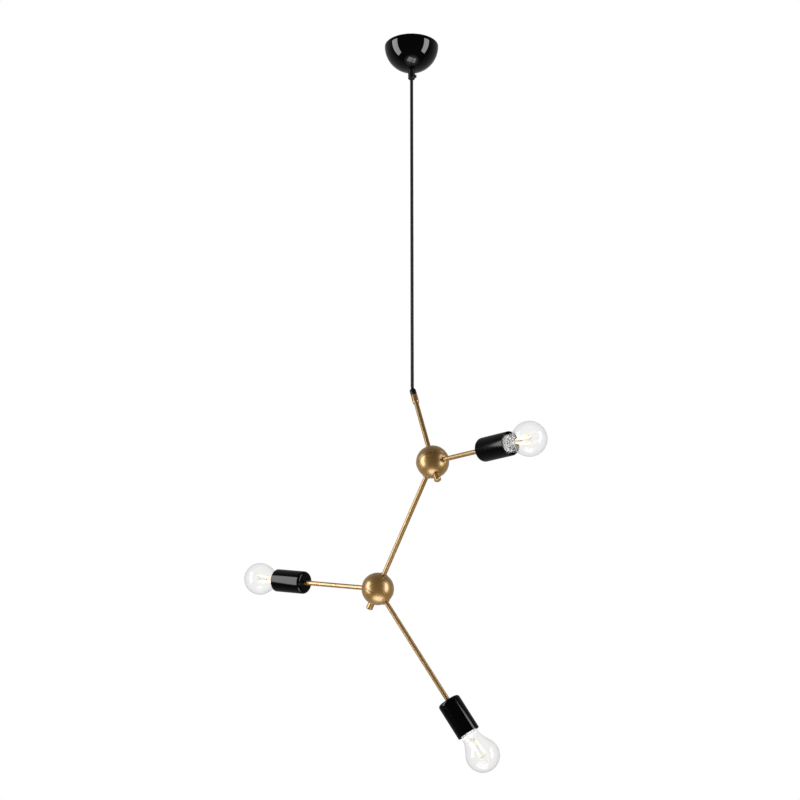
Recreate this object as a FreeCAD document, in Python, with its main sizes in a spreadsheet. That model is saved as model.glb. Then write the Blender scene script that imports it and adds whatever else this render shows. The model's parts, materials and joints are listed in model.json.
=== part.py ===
import FreeCAD, Part
import math
import os
import Sketcher
from FreeCAD import Placement, Rotation, Vector

# Multi arm pendant light: a canopy on the ceiling, a straight cord, and two ball hubs that carry
# three arms with a lampholder and a lamp each. Millimetres and degrees, +Z up.
# The origin lies on the ceiling, at the middle of the canopy, so the whole light is below z = 0.
# Each hub and arm has an axis of its own: local +Z runs outwards along it, from the ball's centre.

doc = FreeCAD.newDocument("multi_arm_pendant")
sheet = doc.addObject("Spreadsheet::Sheet", "sizes")

SIZES = [
    # ceiling canopy and its fixings
    ("canopy_radius", 52.0, "outside radius of the half-sphere canopy"),
    ("canopy_wall", 1.2, "sheet thickness of the canopy"),
    ("bracket_length", 80.0, "tip to tip of the ceiling bracket"),
    ("bracket_width", 16.0, "width of the bracket strip"),
    ("bracket_sheet", 1.5, "sheet thickness of the bracket"),
    ("bracket_drop", 20.0, "depth of the bracket's middle below the ceiling"),
    ("bracket_middle", 51.0, "outside width of the dropped middle"),
    ("bracket_tab", 32.0, "reach of the tab that carries the terminal block"),
    ("screw_spacing", 64.0, "distance between the two ceiling screw holes"),
    ("screw_hole_radius", 2.6, "radius of a ceiling screw hole"),
    ("rod_radius", 5.0, "hollow threaded rod, outside"),
    ("rod_bore", 3.4, "hollow threaded rod, bore radius"),
    ("rod_above", 5.0, "rod above the bracket's middle"),
    ("rod_nut_across", 14.0, "width across flats of the rod's nuts"),
    ("rod_nut_height", 3.0, "thickness of the rod's nuts"),
    ("grip_radius", 6.75, "outside radius of the cord grip"),
    ("grip_length", 19.0, "length of the cord grip below the canopy"),
    ("grip_thread_depth", 9.0, "depth of the grip's threaded socket"),
    ("grip_rounding", 2.4, "rounding of the grip's lower edge"),
    ("grip_screw_height", 6.5, "grip screw's axis above the grip's lower end"),
    ("grip_screw_radius", 1.5, "shank of the grip screw"),
    ("grip_knob_radius", 3.4, "knob of the grip screw"),
    ("grip_knob_length", 2.6, "how far the knob stands out"),
    ("grip_knob_edge", 0.8, "straight edge of the knob, before it rounds"),
    ("terminal_length", 28.0, "terminal block along X"),
    ("terminal_depth", 17.0, "terminal block along Y"),
    ("terminal_height", 13.0, "terminal block height"),
    ("terminal_screw_radius", 1.8, "screw wells of the terminal block"),
    ("terminal_pitch", 8.5, "spacing of the three terminals"),
    ("wire_radius", 0.9, "one insulated conductor"),
    ("wire_gap", 0.09, "gap between the conductors at the cord's end"),
    ("wire_rise", 3.2, "how far the conductors rise before they turn"),
    # cord
    ("cord_radius", 3.0, "outside radius of the round cord"),
    ("cord_bend_drop", 697.0, "depth of the cord's bend below the ceiling"),
    ("cord_tail", 12.0, "cord past its bend, inside the sleeve"),
    ("cord_above_rod", 1.0, "cord's upper end above the rod"),
    # main tube and its end fittings
    ("tube_radius", 4.25, "outside radius of every tube"),
    ("tube_bore", 3.25, "inside radius of every tube"),
    ("lead_radius", 2.95, "sheathed lead inside a tube"),
    ("main_length", 172.0, "cord's bend to the upper ball's centre"),
    ("main_azimuth", -61.6, "main tube's heading about Z, from +X"),
    ("main_lean", 25.6, "main tube's lean from straight down"),
    ("sleeve_start", 2.5, "sleeve's top below the cord's bend"),
    ("sleeve_length", 14.5, "black sleeve"),
    ("sleeve_radius", 5.8, "black sleeve, outside"),
    ("collar_length", 18.0, "collar that clamps the cord to the tube"),
    ("collar_radius", 6.0, "collar, outside"),
    ("collar_taper", 3.0, "length of the collar's tapered end"),
    ("collar_edge", 0.5, "thickness of the collar's tapered end"),
    ("collar_overlap", 15.0, "length of tube inside the collar"),
    ("collar_screw_radius", 1.5, "set screw of the collar"),
    ("collar_screw_turn", 100.0, "set screw's place about the tube"),
    ("collar_screw_proud", 0.3, "how far the set screw stands out"),
    # hubs
    ("ball_radius", 29.5, "back shell of a ball, outside"),
    ("ball_step", 0.4, "front shell is smaller than the back shell by this"),
    ("ball_wall", 1.5, "shell thickness"),
    ("seam_gap", 0.3, "gap between the two shells at the seam"),
    ("lip_depth", 3.0, "front shell's lip inside the back shell"),
    ("lip_wall", 1.2, "thickness of that lip"),
    ("running_gap", 0.3, "gap between pieces that turn on each other"),
    ("fit_gap", 0.1, "gap between screwed or pressed pieces"),
    ("entry_gap", 0.2, "gap round a tube in its hole"),
    ("stud_radius", 6.5, "hub stud, outside"),
    ("stud_thread_radius", 3.0, "hub stud's threaded end"),
    ("stud_flange_radius", 7.5, "flange that the front shell is clamped to"),
    ("stud_flange_height", 2.0, "thickness of that flange"),
    ("stud_window", 5.0, "width of the windows for the leads"),
    ("nut_hole_radius", 5.0, "hole of the front shell for the stud"),
    ("clamp_nut_radius", 6.1, "round clamp nut, outside"),
    ("clamp_nut_height", 13.0, "round clamp nut, length"),
    ("clamp_nut_rim", 0.35, "how far the nut's end rim stands out"),
    ("clamp_nut_band", 0.6, "width of that rim, and of the slope up to it"),
    ("arm_tilt", 63.5, "arm holes, from the hub's axis"),
    ("arm_spread", 172.0, "one arm hole to the other, about the hub's axis"),
    ("upper_turn", 255.5, "upper front shell's place about its axis"),
    ("lower_turn", 252.0, "lower front shell's place about its axis"),
    ("washer_radius", 7.0, "flat washer where a tube meets a ball"),
    ("washer_height", 1.0, "thickness of that washer"),
    ("lock_nut_across", 12.0, "width across flats of a tube's lock nuts"),
    ("lock_nut_height", 3.0, "thickness of a lock nut"),
    ("tube_inside_ball", 20.0, "arm tube's inner end, from the ball's centre"),
    ("tube_inside_stud", 12.0, "incoming tube's end, from the ball's centre"),
    ("splice_radius", 3.8, "splice cap of a lead, outside"),
    ("splice_length", 9.0, "splice cap, length"),
    ("splice_floor", 2.0, "thickness of a splice cap's closed end"),
    ("splice_slack", 0.2, "gap between that end and the lead"),
    # arms, from the ball's centre to the middle of the lamp's globe
    ("link_length", 258.5, "upper ball's centre to lower ball's centre"),
    ("right_length", 238.5, "right arm"),
    ("left_length", 283.0, "left arm"),
    ("bottom_length", 348.5, "bottom arm"),
    # lampholders
    ("cup_radius", 21.0, "lampholder cup, outside"),
    ("cup_length", 68.0, "lampholder cup"),
    ("cup_wall", 2.2, "lampholder cup, wall"),
    ("cup_rounding", 6.0, "rounding of the cup's closed end"),
    ("globe_past_mouth", 44.6, "cup's mouth to the middle of the globe"),
    ("insert_seat", 6.0, "insert's lower face, from the cup's closed end"),
    ("insert_chamfer", 1.5, "bevel of the insert's lower edge"),
    ("insert_entry", 6.0, "depth of the hole where the tube enters the insert"),
    ("insert_floor", 4.0, "insert's floor under the centre contact"),
    ("insert_skirt_wall", 2.05, "wall of the insert's tall skirt"),
    ("insert_skirt_length", 25.0, "insert's skirt above its floor"),
    ("shell_metal", 0.5, "sheet of the threaded shell"),
    ("shell_ridge", 0.15, "depth of the threaded shell's ridges"),
    ("shell_lift", 2.0, "threaded shell above the insert's floor"),
    ("shell_inset", 1.0, "threaded shell below the skirt's edge"),
    ("shell_ridge_inset", 1.5, "first ridge below the threaded shell's edge"),
    ("contact_height", 1.2, "spring tongue under the lamp"),
    ("tube_in_cup", 11.0, "tube's outer end, from the cup's closed end"),
    ("lead_past_tube", 3.0, "lead past the tube's outer end"),
    # lamps
    ("globe_radius", 30.0, "lamp globe"),
    ("glass_wall", 0.8, "glass thickness"),
    ("neck_step", 0.5, "glass beyond the thread, where it enters the screw cap"),
    ("neck_back", 49.6, "that place, behind the globe's middle"),
    ("glass_tuck", 2.0, "length over which the glass narrows into the cap"),
    ("glass_foot", 6.5, "length of glass inside the cap"),
    ("stem_shoulder", 3.0, "stem's full width, below the filaments"),
    ("cap_radius", 13.1, "screw cap, over the thread"),
    ("cap_thread", 0.7, "depth of the cap's thread"),
    ("thread_pitch", 3.629, "pitch of the lamp's thread"),
    ("thread_start", 1.0, "first ridge of the thread, above the cone"),
    ("cap_sheet", 0.4, "sheet of the screw cap"),
    ("cap_rim_step", 1.2, "the cap's rim beyond the thread, where it holds the glass"),
    ("cap_rim_height", 0.8, "height of that rim, and of the slope up to it"),
    ("cap_cone", 4.0, "height of the cone between thread and centre contact"),
    ("cap_cone_inset", 1.5, "cone's upper edge inside the thread"),
    ("cap_edge", 0.5, "bevel above the cone"),
    ("cap_tip_radius", 4.8, "centre contact"),
    ("cap_tip_height", 1.4, "centre contact"),
    ("lamp_tip_back", 75.0, "contact's face, behind the globe's middle"),
    ("stem_radius", 3.2, "glass stem"),
    ("stem_top", 14.0, "top of the stem, behind the globe's middle"),
    ("filament_radius", 0.9, "light filament"),
    ("filament_low", 30.0, "filaments' lower end, behind the globe's middle"),
    ("filament_high", 2.0, "filaments' upper end, past the globe's middle"),
    ("filament_ring_low", 4.2, "filaments' distance from the axis, lower end"),
    ("filament_ring_high", 9.0, "filaments' distance from the axis, upper end"),
]
for row, (alias, value, meaning) in enumerate(SIZES, start=1):
    sheet.set("A%d" % row, meaning)
    sheet.set("B%d" % row, str(value))
    sheet.setAlias("B%d" % row, alias)
doc.recompute()


class Size:
    """A number worked out from the sheet, kept with the expression that gives it."""

    def __init__(self, value, text):
        self.value = float(value)
        self.text = text

    def join(self, other, sign, value):
        text = other.text if isinstance(other, Size) else repr(float(other))
        return Size(value, "(%s %s %s)" % (self.text, sign, text))

    def __add__(self, other):
        return self.join(other, "+", self.value + number(other))

    def __sub__(self, other):
        return self.join(other, "-", self.value - number(other))

    def __mul__(self, other):
        return self.join(other, "*", self.value * number(other))

    def __truediv__(self, other):
        return self.join(other, "/", self.value / number(other))

    def __neg__(self):
        return Size(-self.value, "(-1 * %s)" % self.text)


def number(size):
    """The plain number of a size."""
    return size.value if isinstance(size, Size) else float(size)


def root(size):
    """Square root of a size."""
    return Size(math.sqrt(size.value), "sqrt(%s)" % size.text)


def on_ball(radius, off_axis):
    """Height of a ball's surface above its middle plane, at a distance from its axis."""
    return root(radius * radius - off_axis * off_axis)


S = {alias: Size(value, "sizes.%s" % alias) for alias, value, meaning in SIZES}


def bind(obj, path, size):
    """Set one property of an object to a size, and keep it tied to the sheet."""
    if isinstance(size, Size):
        obj.setExpression(path, size.text)


class Arc:
    """A round stretch of an outline; its centre stands this far from the axis."""

    def __init__(self, centre):
        self.centre = centre


def new_body(name):
    body = doc.addObject("PartDesign::Body", name + "_body")
    body.Label = name
    return body


def new_sketch(body, plane, lift=None):
    """A sketch on one of the body's own origin planes, lifted along the plane's normal."""
    sketch = body.newObject("Sketcher::SketchObject", body.Label + "_sketch")
    flat = [f for f in body.Origin.OriginFeatures if f.Role == plane][0]
    sketch.AttachmentSupport = [(flat, "")]
    sketch.MapMode = "FlatFace"
    if lift is not None:
        sketch.AttachmentOffset = Placement(Vector(0, 0, number(lift)), Rotation())
        bind(sketch, "AttachmentOffset.Base.z", lift)
    return sketch


def fix(sketch, kind, geometry, point, size):
    """Fix one coordinate of a sketch point; a plain zero puts it on the axis."""
    if not isinstance(size, Size) and float(size) == 0.0:
        axis = -2 if kind == "DistanceX" else -1
        sketch.addConstraint(Sketcher.Constraint("PointOnObject", geometry, point, axis))
        return
    index = sketch.addConstraint(Sketcher.Constraint(kind, -1, 1, geometry, point, number(size)))
    if isinstance(size, Size):
        name = "%s_%d" % (kind, index)
        sketch.renameConstraint(index, name)
        bind(sketch, "Constraints." + name, size)


def name_radius(sketch, circle, name, size):
    """Fix a sketch circle's radius to a size."""
    index = sketch.addConstraint(Sketcher.Constraint("Radius", circle, number(size)))
    sketch.renameConstraint(index, name)
    bind(sketch, "Constraints." + name, size)


def outline(sketch, items):
    """A closed outline from (x, y) corners, with an Arc between two corners where it is round."""
    corners = []
    arcs = {}
    for item in items:
        if isinstance(item, Arc):
            arcs[len(corners) - 1] = item
        else:
            corners.append(item)
    ends = []
    for i, (x, y) in enumerate(corners):
        far_x, far_y = corners[(i + 1) % len(corners)]
        start = Vector(number(x), number(y), 0)
        stop = Vector(number(far_x), number(far_y), 0)
        if i in arcs:
            ends.append(add_arc(sketch, start, stop, arcs[i].centre))
        else:
            ends.append((sketch.addGeometry(Part.LineSegment(start, stop)), 1, 2))
    for i, (x, y) in enumerate(corners):
        geometry, first, last = ends[i]
        before, before_first, before_last = ends[i - 1]
        sketch.addConstraint(Sketcher.Constraint("Coincident", before, before_last, geometry, first))
        fix(sketch, "DistanceX", geometry, first, x)
        fix(sketch, "DistanceY", geometry, first, y)


def add_arc(sketch, start, stop, centre):
    """The shorter arc from start to stop about a centre whose distance from the axis is given."""
    x = number(centre)
    rise = 2 * (stop.y - start.y)
    y = ((stop.x - x) ** 2 + stop.y ** 2 - (start.x - x) ** 2 - start.y ** 2) / rise
    middle = Vector(x, y, 0)
    one = start - middle
    two = stop - middle
    circle = Part.Circle(middle, Vector(0, 0, 1), one.Length)
    angles = math.atan2(one.y, one.x), math.atan2(two.y, two.x)
    left_turn = one.cross(two).z > 0
    low, high = angles if left_turn else angles[::-1]
    arc = sketch.addGeometry(Part.ArcOfCircle(circle, low, high if high > low else high + 2 * math.pi))
    fix(sketch, "DistanceX", arc, 3, centre)
    return (arc, 1, 2) if left_turn else (arc, 2, 1)


def turned(name, items):
    """A solid of revolution about Z from an outline of (radius, height) corners."""
    body = new_body(name)
    sketch = new_sketch(body, "XZ_Plane")
    outline(sketch, items)
    turn = body.newObject("PartDesign::Revolution", name + "_turn")
    turn.Profile = sketch
    turn.ReferenceAxis = (sketch, ["V_Axis"])
    turn.Angle = 360.0
    body.Tip = turn
    return body


def tube(name, outer, bore, low, high):
    """A plain tube or ring about Z."""
    return turned(name, [(bore, low), (outer, low), (outer, high), (bore, high)])


def rod(name, radius, low, high):
    """A plain round bar about Z."""
    return turned(name, [(0, low), (radius, low), (radius, high), (0, high)])


def hex_nut(name, across, bore, low, height):
    """A hexagon nut about Z, padded from a hexagon with a round hole."""
    body = new_body(name)
    sketch = new_sketch(body, "XY_Plane", low)
    corner = across / math.sqrt(3)
    first = Vector(number(corner), 0, 0)
    tips = [Rotation(Vector(0, 0, 1), 60 * i).multVec(first) for i in range(6)]
    for i in range(6):
        sketch.addGeometry(Part.LineSegment(tips[i], tips[(i + 1) % 6]))
    for i in range(6):
        sketch.addConstraint(Sketcher.Constraint("Coincident", i, 2, (i + 1) % 6, 1))
    for i in range(1, 6):
        sketch.addConstraint(Sketcher.Constraint("Equal", 0, i))
    ring = sketch.addGeometry(Part.Circle(Vector(0, 0, 0), Vector(0, 0, 1), number(corner)), True)
    hole = sketch.addGeometry(Part.Circle(Vector(0, 0, 0), Vector(0, 0, 1), number(bore)))
    for circle in (ring, hole):
        sketch.addConstraint(Sketcher.Constraint("Coincident", circle, 3, -1, 1))
    for i in range(6):
        sketch.addConstraint(Sketcher.Constraint("PointOnObject", i, 1, ring))
    sketch.addConstraint(Sketcher.Constraint("PointOnObject", 0, 1, -1))
    name_radius(sketch, ring, "corner", corner)
    name_radius(sketch, hole, "bore", bore)
    pad = body.newObject("PartDesign::Pad", name + "_pad")
    pad.Profile = sketch
    pad.Length = number(height)
    bind(pad, "Length", height)
    body.Tip = pad
    return body


def cylinder(name, radius, length, placement):
    """A round cutting tool."""
    tool = doc.addObject("Part::Cylinder", name)
    tool.Radius = number(radius)
    tool.Height = number(length)
    bind(tool, "Radius", radius)
    bind(tool, "Height", length)
    tool.Placement = placement
    return tool


def cut(name, base, tools):
    """One piece cut by several tools."""
    for i, tool in enumerate(tools):
        step = doc.addObject("Part::Cut", "%s_cut%d" % (name, i))
        step.Base = base
        step.Tool = tool
        base.Label = base.Label + "_uncut"
        base = step
    base.Label = name
    return base


def group(name, pieces):
    """Separate pieces of one kind that share a node."""
    for i, piece in enumerate(pieces):
        piece.Label = "%s_%d" % (name, i + 1)
    bundle = doc.addObject("Part::Compound", name + "_group")
    bundle.Links = pieces
    bundle.Label = name
    return bundle


parts = []


def place(piece, placement):
    """Put a finished sub-part where it belongs and list it for writing."""
    piece.Placement = placement
    parts.append(piece)
    return piece


# ---- axes of the main tube, the hubs and the arms ----

def heading(azimuth, lean):
    """Direction from its heading about Z and its lean from straight down."""
    out = math.sin(math.radians(lean))
    return Vector(out * math.cos(math.radians(azimuth)), out * math.sin(math.radians(azimuth)),
                  -math.cos(math.radians(lean)))


def axis_frame(origin, direction):
    """A placement with local +Z along a direction and local +X level."""
    level = direction.cross(Vector(0, 0, 1))
    level.normalize()
    return Placement(origin, Rotation(level, direction.cross(level), direction, "ZXY"))


def arm_frame(hub, turn):
    """An arm's placement: tilted from the hub's axis, and turned about it."""
    spin = Rotation(Vector(0, 0, 1), turn)
    direction = hub.Rotation.multVec(spin.multVec(tilted))
    return axis_frame(hub.Base, direction)


ALONG_Z = Placement()
tilt = math.radians(S["arm_tilt"].value)
tilted = Vector(math.sin(tilt), 0, math.cos(tilt))
bend = Vector(0, 0, -S["cord_bend_drop"].value)
main_direction = heading(S["main_azimuth"].value, S["main_lean"].value)
main_frame = axis_frame(bend, main_direction)
upper_hub = axis_frame(bend + main_direction * S["main_length"].value, main_direction)
right_frame = arm_frame(upper_hub, S["upper_turn"].value)
link_frame = arm_frame(upper_hub, S["upper_turn"].value - S["arm_spread"].value)
link_direction = link_frame.Rotation.multVec(Vector(0, 0, 1))
lower_hub = axis_frame(upper_hub.Base + link_direction * S["link_length"].value, link_direction)
left_frame = arm_frame(lower_hub, S["lower_turn"].value)
bottom_frame = arm_frame(lower_hub, S["lower_turn"].value + S["arm_spread"].value)


# ---- ceiling canopy ----

def ceiling_bracket():
    """A bent steel strip with a dropped middle, a side tab, two screw holes and a rod hole."""
    body = new_body("ceiling_bracket")
    half = S["bracket_length"] / 2
    side = S["bracket_middle"] / 2
    sheet_metal = S["bracket_sheet"]
    drop = S["bracket_drop"]
    sketch = new_sketch(body, "XZ_Plane")
    outline(sketch, [
        (-half, 0), (-half, -sheet_metal), (-side, -sheet_metal), (-side, -drop - sheet_metal),
        (side, -drop - sheet_metal), (side, -sheet_metal), (half, -sheet_metal), (half, 0),
        (side - sheet_metal, 0), (side - sheet_metal, -drop),
        (-side + sheet_metal, -drop), (-side + sheet_metal, 0)])
    strip = body.newObject("PartDesign::Pad", "bracket_strip")
    strip.Profile = sketch
    strip.Length = S["bracket_width"].value
    bind(strip, "Length", S["bracket_width"])
    strip.Midplane = True
    tab_sketch = new_sketch(body, "XY_Plane", -drop - sheet_metal)
    reach = S["terminal_length"] / 2
    edge = S["bracket_width"] / 4
    outline(tab_sketch, [(-reach, edge), (reach, edge), (reach, S["bracket_tab"]),
                         (-reach, S["bracket_tab"])])
    tab = body.newObject("PartDesign::Pad", "bracket_side_tab")
    tab.Profile = tab_sketch
    tab.Length = sheet_metal.value
    bind(tab, "Length", sheet_metal)
    body.Tip = tab
    doc.recompute()
    holes = new_sketch(body, "XY_Plane")
    middle = holes.addGeometry(Part.Circle(Vector(0, 0, 0), Vector(0, 0, 1), 1))
    holes.addConstraint(Sketcher.Constraint("Coincident", middle, 3, -1, 1))
    name_radius(holes, middle, "rod_hole", S["rod_radius"] + S["fit_gap"])
    for sign, name in ((-1, "left_hole"), (1, "right_hole")):
        spot = Vector(sign * S["screw_spacing"].value / 2, 0, 0)
        ring = holes.addGeometry(Part.Circle(spot, Vector(0, 0, 1), 1))
        fix(holes, "DistanceX", ring, 3, S["screw_spacing"] * (sign * 0.5))
        fix(holes, "DistanceY", ring, 3, 0)
        name_radius(holes, ring, name, S["screw_hole_radius"])
    pocket = body.newObject("PartDesign::Pocket", "bracket_holes")
    pocket.Profile = holes
    pocket.Type = "ThroughAll"
    pocket.Midplane = True
    body.Tip = pocket
    return body


canopy_depth = on_ball(S["canopy_radius"], S["rod_radius"])
grip_low = -canopy_depth - S["grip_length"]
rod_top = -S["bracket_drop"] + S["rod_above"]
rod_low = -canopy_depth - S["grip_thread_depth"] + S["running_gap"]
cord_top = rod_top + S["cord_above_rod"]


def canopy_shell():
    """A thin half sphere with a hole at the bottom for the threaded rod."""
    outer = S["canopy_radius"]
    inner = outer - S["canopy_wall"]
    hole = S["rod_radius"] + S["fit_gap"]
    return turned("canopy_shell", [
        (inner, 0), (outer, 0), Arc(0), (hole, -on_ball(outer, hole)),
        (hole, -on_ball(inner, hole)), Arc(0)])


def cord_grip():
    """A round grip on the rod's end: threaded socket above, cord bore and a rounded lip below."""
    outer = S["grip_radius"]
    socket = S["rod_radius"] + S["fit_gap"]
    bore = S["rod_bore"]
    lip = S["grip_rounding"]
    flare = bore + lip / 4
    floor = -canopy_depth - S["grip_thread_depth"]
    body = turned("cord_grip", [
        (socket, -canopy_depth), (outer, -canopy_depth), (outer, grip_low + lip), Arc(outer - lip),
        (outer - lip, grip_low), (flare, grip_low), (bore, grip_low + lip / 4), (bore, floor),
        (socket, floor)])
    height = grip_low.value + S["grip_screw_height"].value
    side = Placement(Vector(0, 0, height), Rotation(Vector(0, 1, 0), 90))
    hole = cylinder("grip_cross_hole", S["grip_screw_radius"] + S["entry_gap"],
                    S["grip_radius"] + S["fit_gap"], side)
    return cut("cord_grip", body, [hole])


def grip_screw():
    """A round-headed thumb screw that pinches the cord from the side."""
    shank = S["grip_screw_radius"]
    knob = S["grip_knob_radius"]
    tip = S["cord_radius"] + S["running_gap"]
    seat = S["grip_radius"] + S["running_gap"]
    end = seat + S["grip_knob_length"]
    return turned("grip_screw", [
        (0, tip), (shank, tip), (shank, seat), (knob, seat), (knob, seat + S["grip_knob_edge"]),
        Arc(0), (0, end)])


def terminal_block():
    """A three-pole block on the bracket's tab, with a screw well over each pole."""
    body = new_body("terminal_block")
    half = S["terminal_length"] / 2
    near = S["bracket_tab"] - S["terminal_depth"]
    sketch = new_sketch(body, "XY_Plane", -S["bracket_drop"])
    outline(sketch, [(-half, near), (half, near), (half, S["bracket_tab"]), (-half, S["bracket_tab"])])
    pad = body.newObject("PartDesign::Pad", "terminal_body")
    pad.Profile = sketch
    pad.Length = S["terminal_height"].value
    bind(pad, "Length", S["terminal_height"])
    body.Tip = pad
    doc.recompute()
    wells = new_sketch(body, "XY_Plane", -S["bracket_drop"] + S["terminal_height"])
    for i, step in enumerate((-1, 0, 1)):
        ring = wells.addGeometry(Part.Circle(Vector(step, 0, 0), Vector(0, 0, 1), 1))
        fix(wells, "DistanceX", ring, 3, S["terminal_pitch"] * step if step else 0)
        fix(wells, "DistanceY", ring, 3, S["bracket_tab"] - S["terminal_depth"] / 2)
        name_radius(wells, ring, "well_%d" % i, S["terminal_screw_radius"])
    pocket = body.newObject("PartDesign::Pocket", "terminal_wells")
    pocket.Profile = wells
    pocket.Length = S["terminal_height"].value / 2
    bind(pocket, "Length", S["terminal_height"] / 2)
    body.Tip = pocket
    return body


def swept(path, radius):
    """A round bar along a wire of straight runs and arcs."""
    start = path.Edges[0]
    direction = start.tangentAt(start.FirstParameter)
    circle = Part.Circle(start.valueAt(start.FirstParameter), direction, radius)
    profile = Part.Wire([circle.toShape()])
    return path.makePipeShell([profile], True, False)


def rounded_path(points, share=0.45):
    """Straight runs joined by tangent arcs, each as large as this share of its shorter run."""
    edges = []
    radii = []
    here = points[0]
    for before, corner, after in zip(points, points[1:], points[2:]):
        run_in = corner - before
        run_out = after - corner
        trim = share * min(run_in.Length, run_out.Length)
        half_turn = run_in.getAngle(run_out) / 2
        radius = trim / math.tan(half_turn)
        first = corner - run_in.normalize() * trim
        last = corner + run_out.normalize() * trim
        inward = (last - corner) + (first - corner)
        inward.normalize()
        middle = corner + inward * (radius / math.cos(half_turn) - radius)
        edges.append(Part.LineSegment(here, first).toShape())
        edges.append(Part.Arc(first, middle, last).toShape())
        radii.append(radius)
        here = last
    edges.append(Part.LineSegment(here, points[-1]).toShape())
    return Part.Wire(edges), radii


def supply_wires():
    """Three conductors from the cord's top over to the poles of the terminal block."""
    start = cord_top.value + S["running_gap"].value
    rise = S["wire_rise"].value
    near = (S["bracket_tab"] - S["terminal_depth"] - S["running_gap"] * 2).value
    apart = (S["wire_radius"] * 2 + S["wire_gap"]).value
    wires = []
    for step in (-1, 0, 1):
        foot = Vector(step * apart, 0, start)
        knee = foot + Vector(0, 0, rise)
        pole = Vector(step * S["terminal_pitch"].value, near, start + rise)
        path, radii = rounded_path([foot, knee, pole])
        wires.append(swept(path, S["wire_radius"].value))
    bundle = doc.addObject("Part::Feature", "supply_wires_shape")
    bundle.Shape = Part.makeCompound(wires)
    bundle.Label = "supply_wires"
    return bundle


place(ceiling_bracket(), ALONG_Z)
place(tube("threaded_rod", S["rod_radius"], S["rod_bore"], rod_low, rod_top), ALONG_Z)
nut_hole = S["rod_radius"] + S["fit_gap"]
place(group("rod_nuts", [
    hex_nut("nut_above", S["rod_nut_across"], nut_hole, -S["bracket_drop"], S["rod_nut_height"]),
    hex_nut("nut_below", S["rod_nut_across"], nut_hole,
            -S["bracket_drop"] - S["bracket_sheet"] - S["rod_nut_height"], S["rod_nut_height"]),
]), ALONG_Z)
place(canopy_shell(), ALONG_Z)
place(cord_grip(), ALONG_Z)
grip_side = Vector(0, 0, (grip_low + S["grip_screw_height"]).value)
place(grip_screw(), Placement(grip_side, Rotation(Vector(0, 1, 0), 90)))
place(terminal_block(), ALONG_Z)
place(supply_wires(), ALONG_Z)
place(rod("cord_in_canopy", S["cord_radius"],
          grip_low + S["cord_radius"] + S["running_gap"], cord_top), ALONG_Z)


# ---- hanging cord ----

def hanging_cord():
    """The cord from its swing point in the grip, straight down, then bent into the sleeve."""
    top = Vector(0, 0, grip_low.value)
    end = bend + main_direction * S["cord_tail"].value
    path, radii = rounded_path([top, bend, end])
    radius = S["cord_radius"].value
    cord = swept(path, radius)
    expected = math.pi * radius ** 2 * path.Length
    print("cord arc radii", [round(r, 2) for r in radii], "length", round(path.Length, 2))
    print("cord volume against section times length", round(cord.Volume / expected, 5))
    rounded_end = Part.makeSphere(radius, top, Vector(0, 0, 1), 0, 90, 360)
    feature = doc.addObject("Part::Feature", "hanging_cord_shape")
    feature.Shape = cord.fuse(rounded_end).removeSplitter()
    feature.Label = "hanging_cord"
    return feature


place(hanging_cord(), Placement())


# ---- main tube and its end fittings ----

sleeve_end = S["sleeve_start"] + S["sleeve_length"]
collar_end = sleeve_end + S["collar_length"]
cord_passage = S["cord_radius"] + S["running_gap"] * 2
tube_passage = S["tube_radius"] + S["fit_gap"]
tube_top = collar_end - S["collar_overlap"]


def cord_sleeve():
    """A black sleeve round the cord's end, with a chamfered mouth."""
    chamfer = S["sleeve_radius"] / 6
    mouth = S["sleeve_start"]
    return turned("cord_sleeve", [
        (cord_passage + chamfer / 2, mouth), (S["sleeve_radius"] - chamfer, mouth),
        (S["sleeve_radius"], mouth + chamfer), (S["sleeve_radius"], sleeve_end),
        (cord_passage, sleeve_end), (cord_passage, mouth + chamfer)])


def tube_collar():
    """A collar that joins the sleeve to the tube, tapered where it meets the tube."""
    outer = S["collar_radius"]
    body = turned("tube_collar", [
        (cord_passage, sleeve_end), (outer, sleeve_end), (outer, collar_end - S["collar_taper"]),
        (tube_passage + S["collar_edge"], collar_end), (tube_passage, collar_end), (tube_passage, tube_top),
        (cord_passage, tube_top)])
    hole = cylinder("collar_cross_hole", S["collar_screw_radius"] + S["fit_gap"],
                    outer + S["fit_gap"], collar_screw_axis)
    return cut("tube_collar", body, [hole])


def cross_axis(height, turn):
    """Local placement of a cross hole: its +Z points straight out from the axis."""
    return Placement(Vector(0, 0, height), Rotation(Vector(0, 0, 1), turn)).multiply(
        Placement(Vector(), Rotation(Vector(0, 1, 0), 90)))


collar_screw_height = collar_end - S["collar_taper"] - S["collar_screw_radius"] * 2
collar_screw_axis = cross_axis(collar_screw_height.value, S["collar_screw_turn"].value)
place(cord_sleeve(), main_frame)
place(tube_collar(), main_frame)
screw_seat = S["tube_radius"] + S["fit_gap"] / 2
collar_screw = rod("collar_screw", S["collar_screw_radius"], screw_seat,
                   S["collar_radius"] + S["collar_screw_proud"])
place(collar_screw, main_frame.multiply(collar_screw_axis))
place(tube("main_tube", S["tube_radius"], S["tube_bore"], tube_top,
           S["main_length"] - S["tube_inside_stud"]), main_frame)
place(rod("main_lead", S["lead_radius"], S["cord_tail"],
          S["main_length"] + S["stud_window"]), main_frame)


# ---- hubs ----

back_inner = S["ball_radius"] - S["ball_wall"]
front_radius = S["ball_radius"] - S["ball_step"]
front_inner = front_radius - S["ball_wall"]
entry = S["tube_radius"] + S["entry_gap"]


def back_shell(name):
    """The half ball on the incoming tube's side."""
    seam = -S["seam_gap"] / 2
    return turned(name, [
        (on_ball(back_inner, seam), seam), (on_ball(S["ball_radius"], seam), seam), Arc(0),
        (entry, -on_ball(S["ball_radius"], entry)), (entry, -on_ball(back_inner, entry)), Arc(0)])


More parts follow.
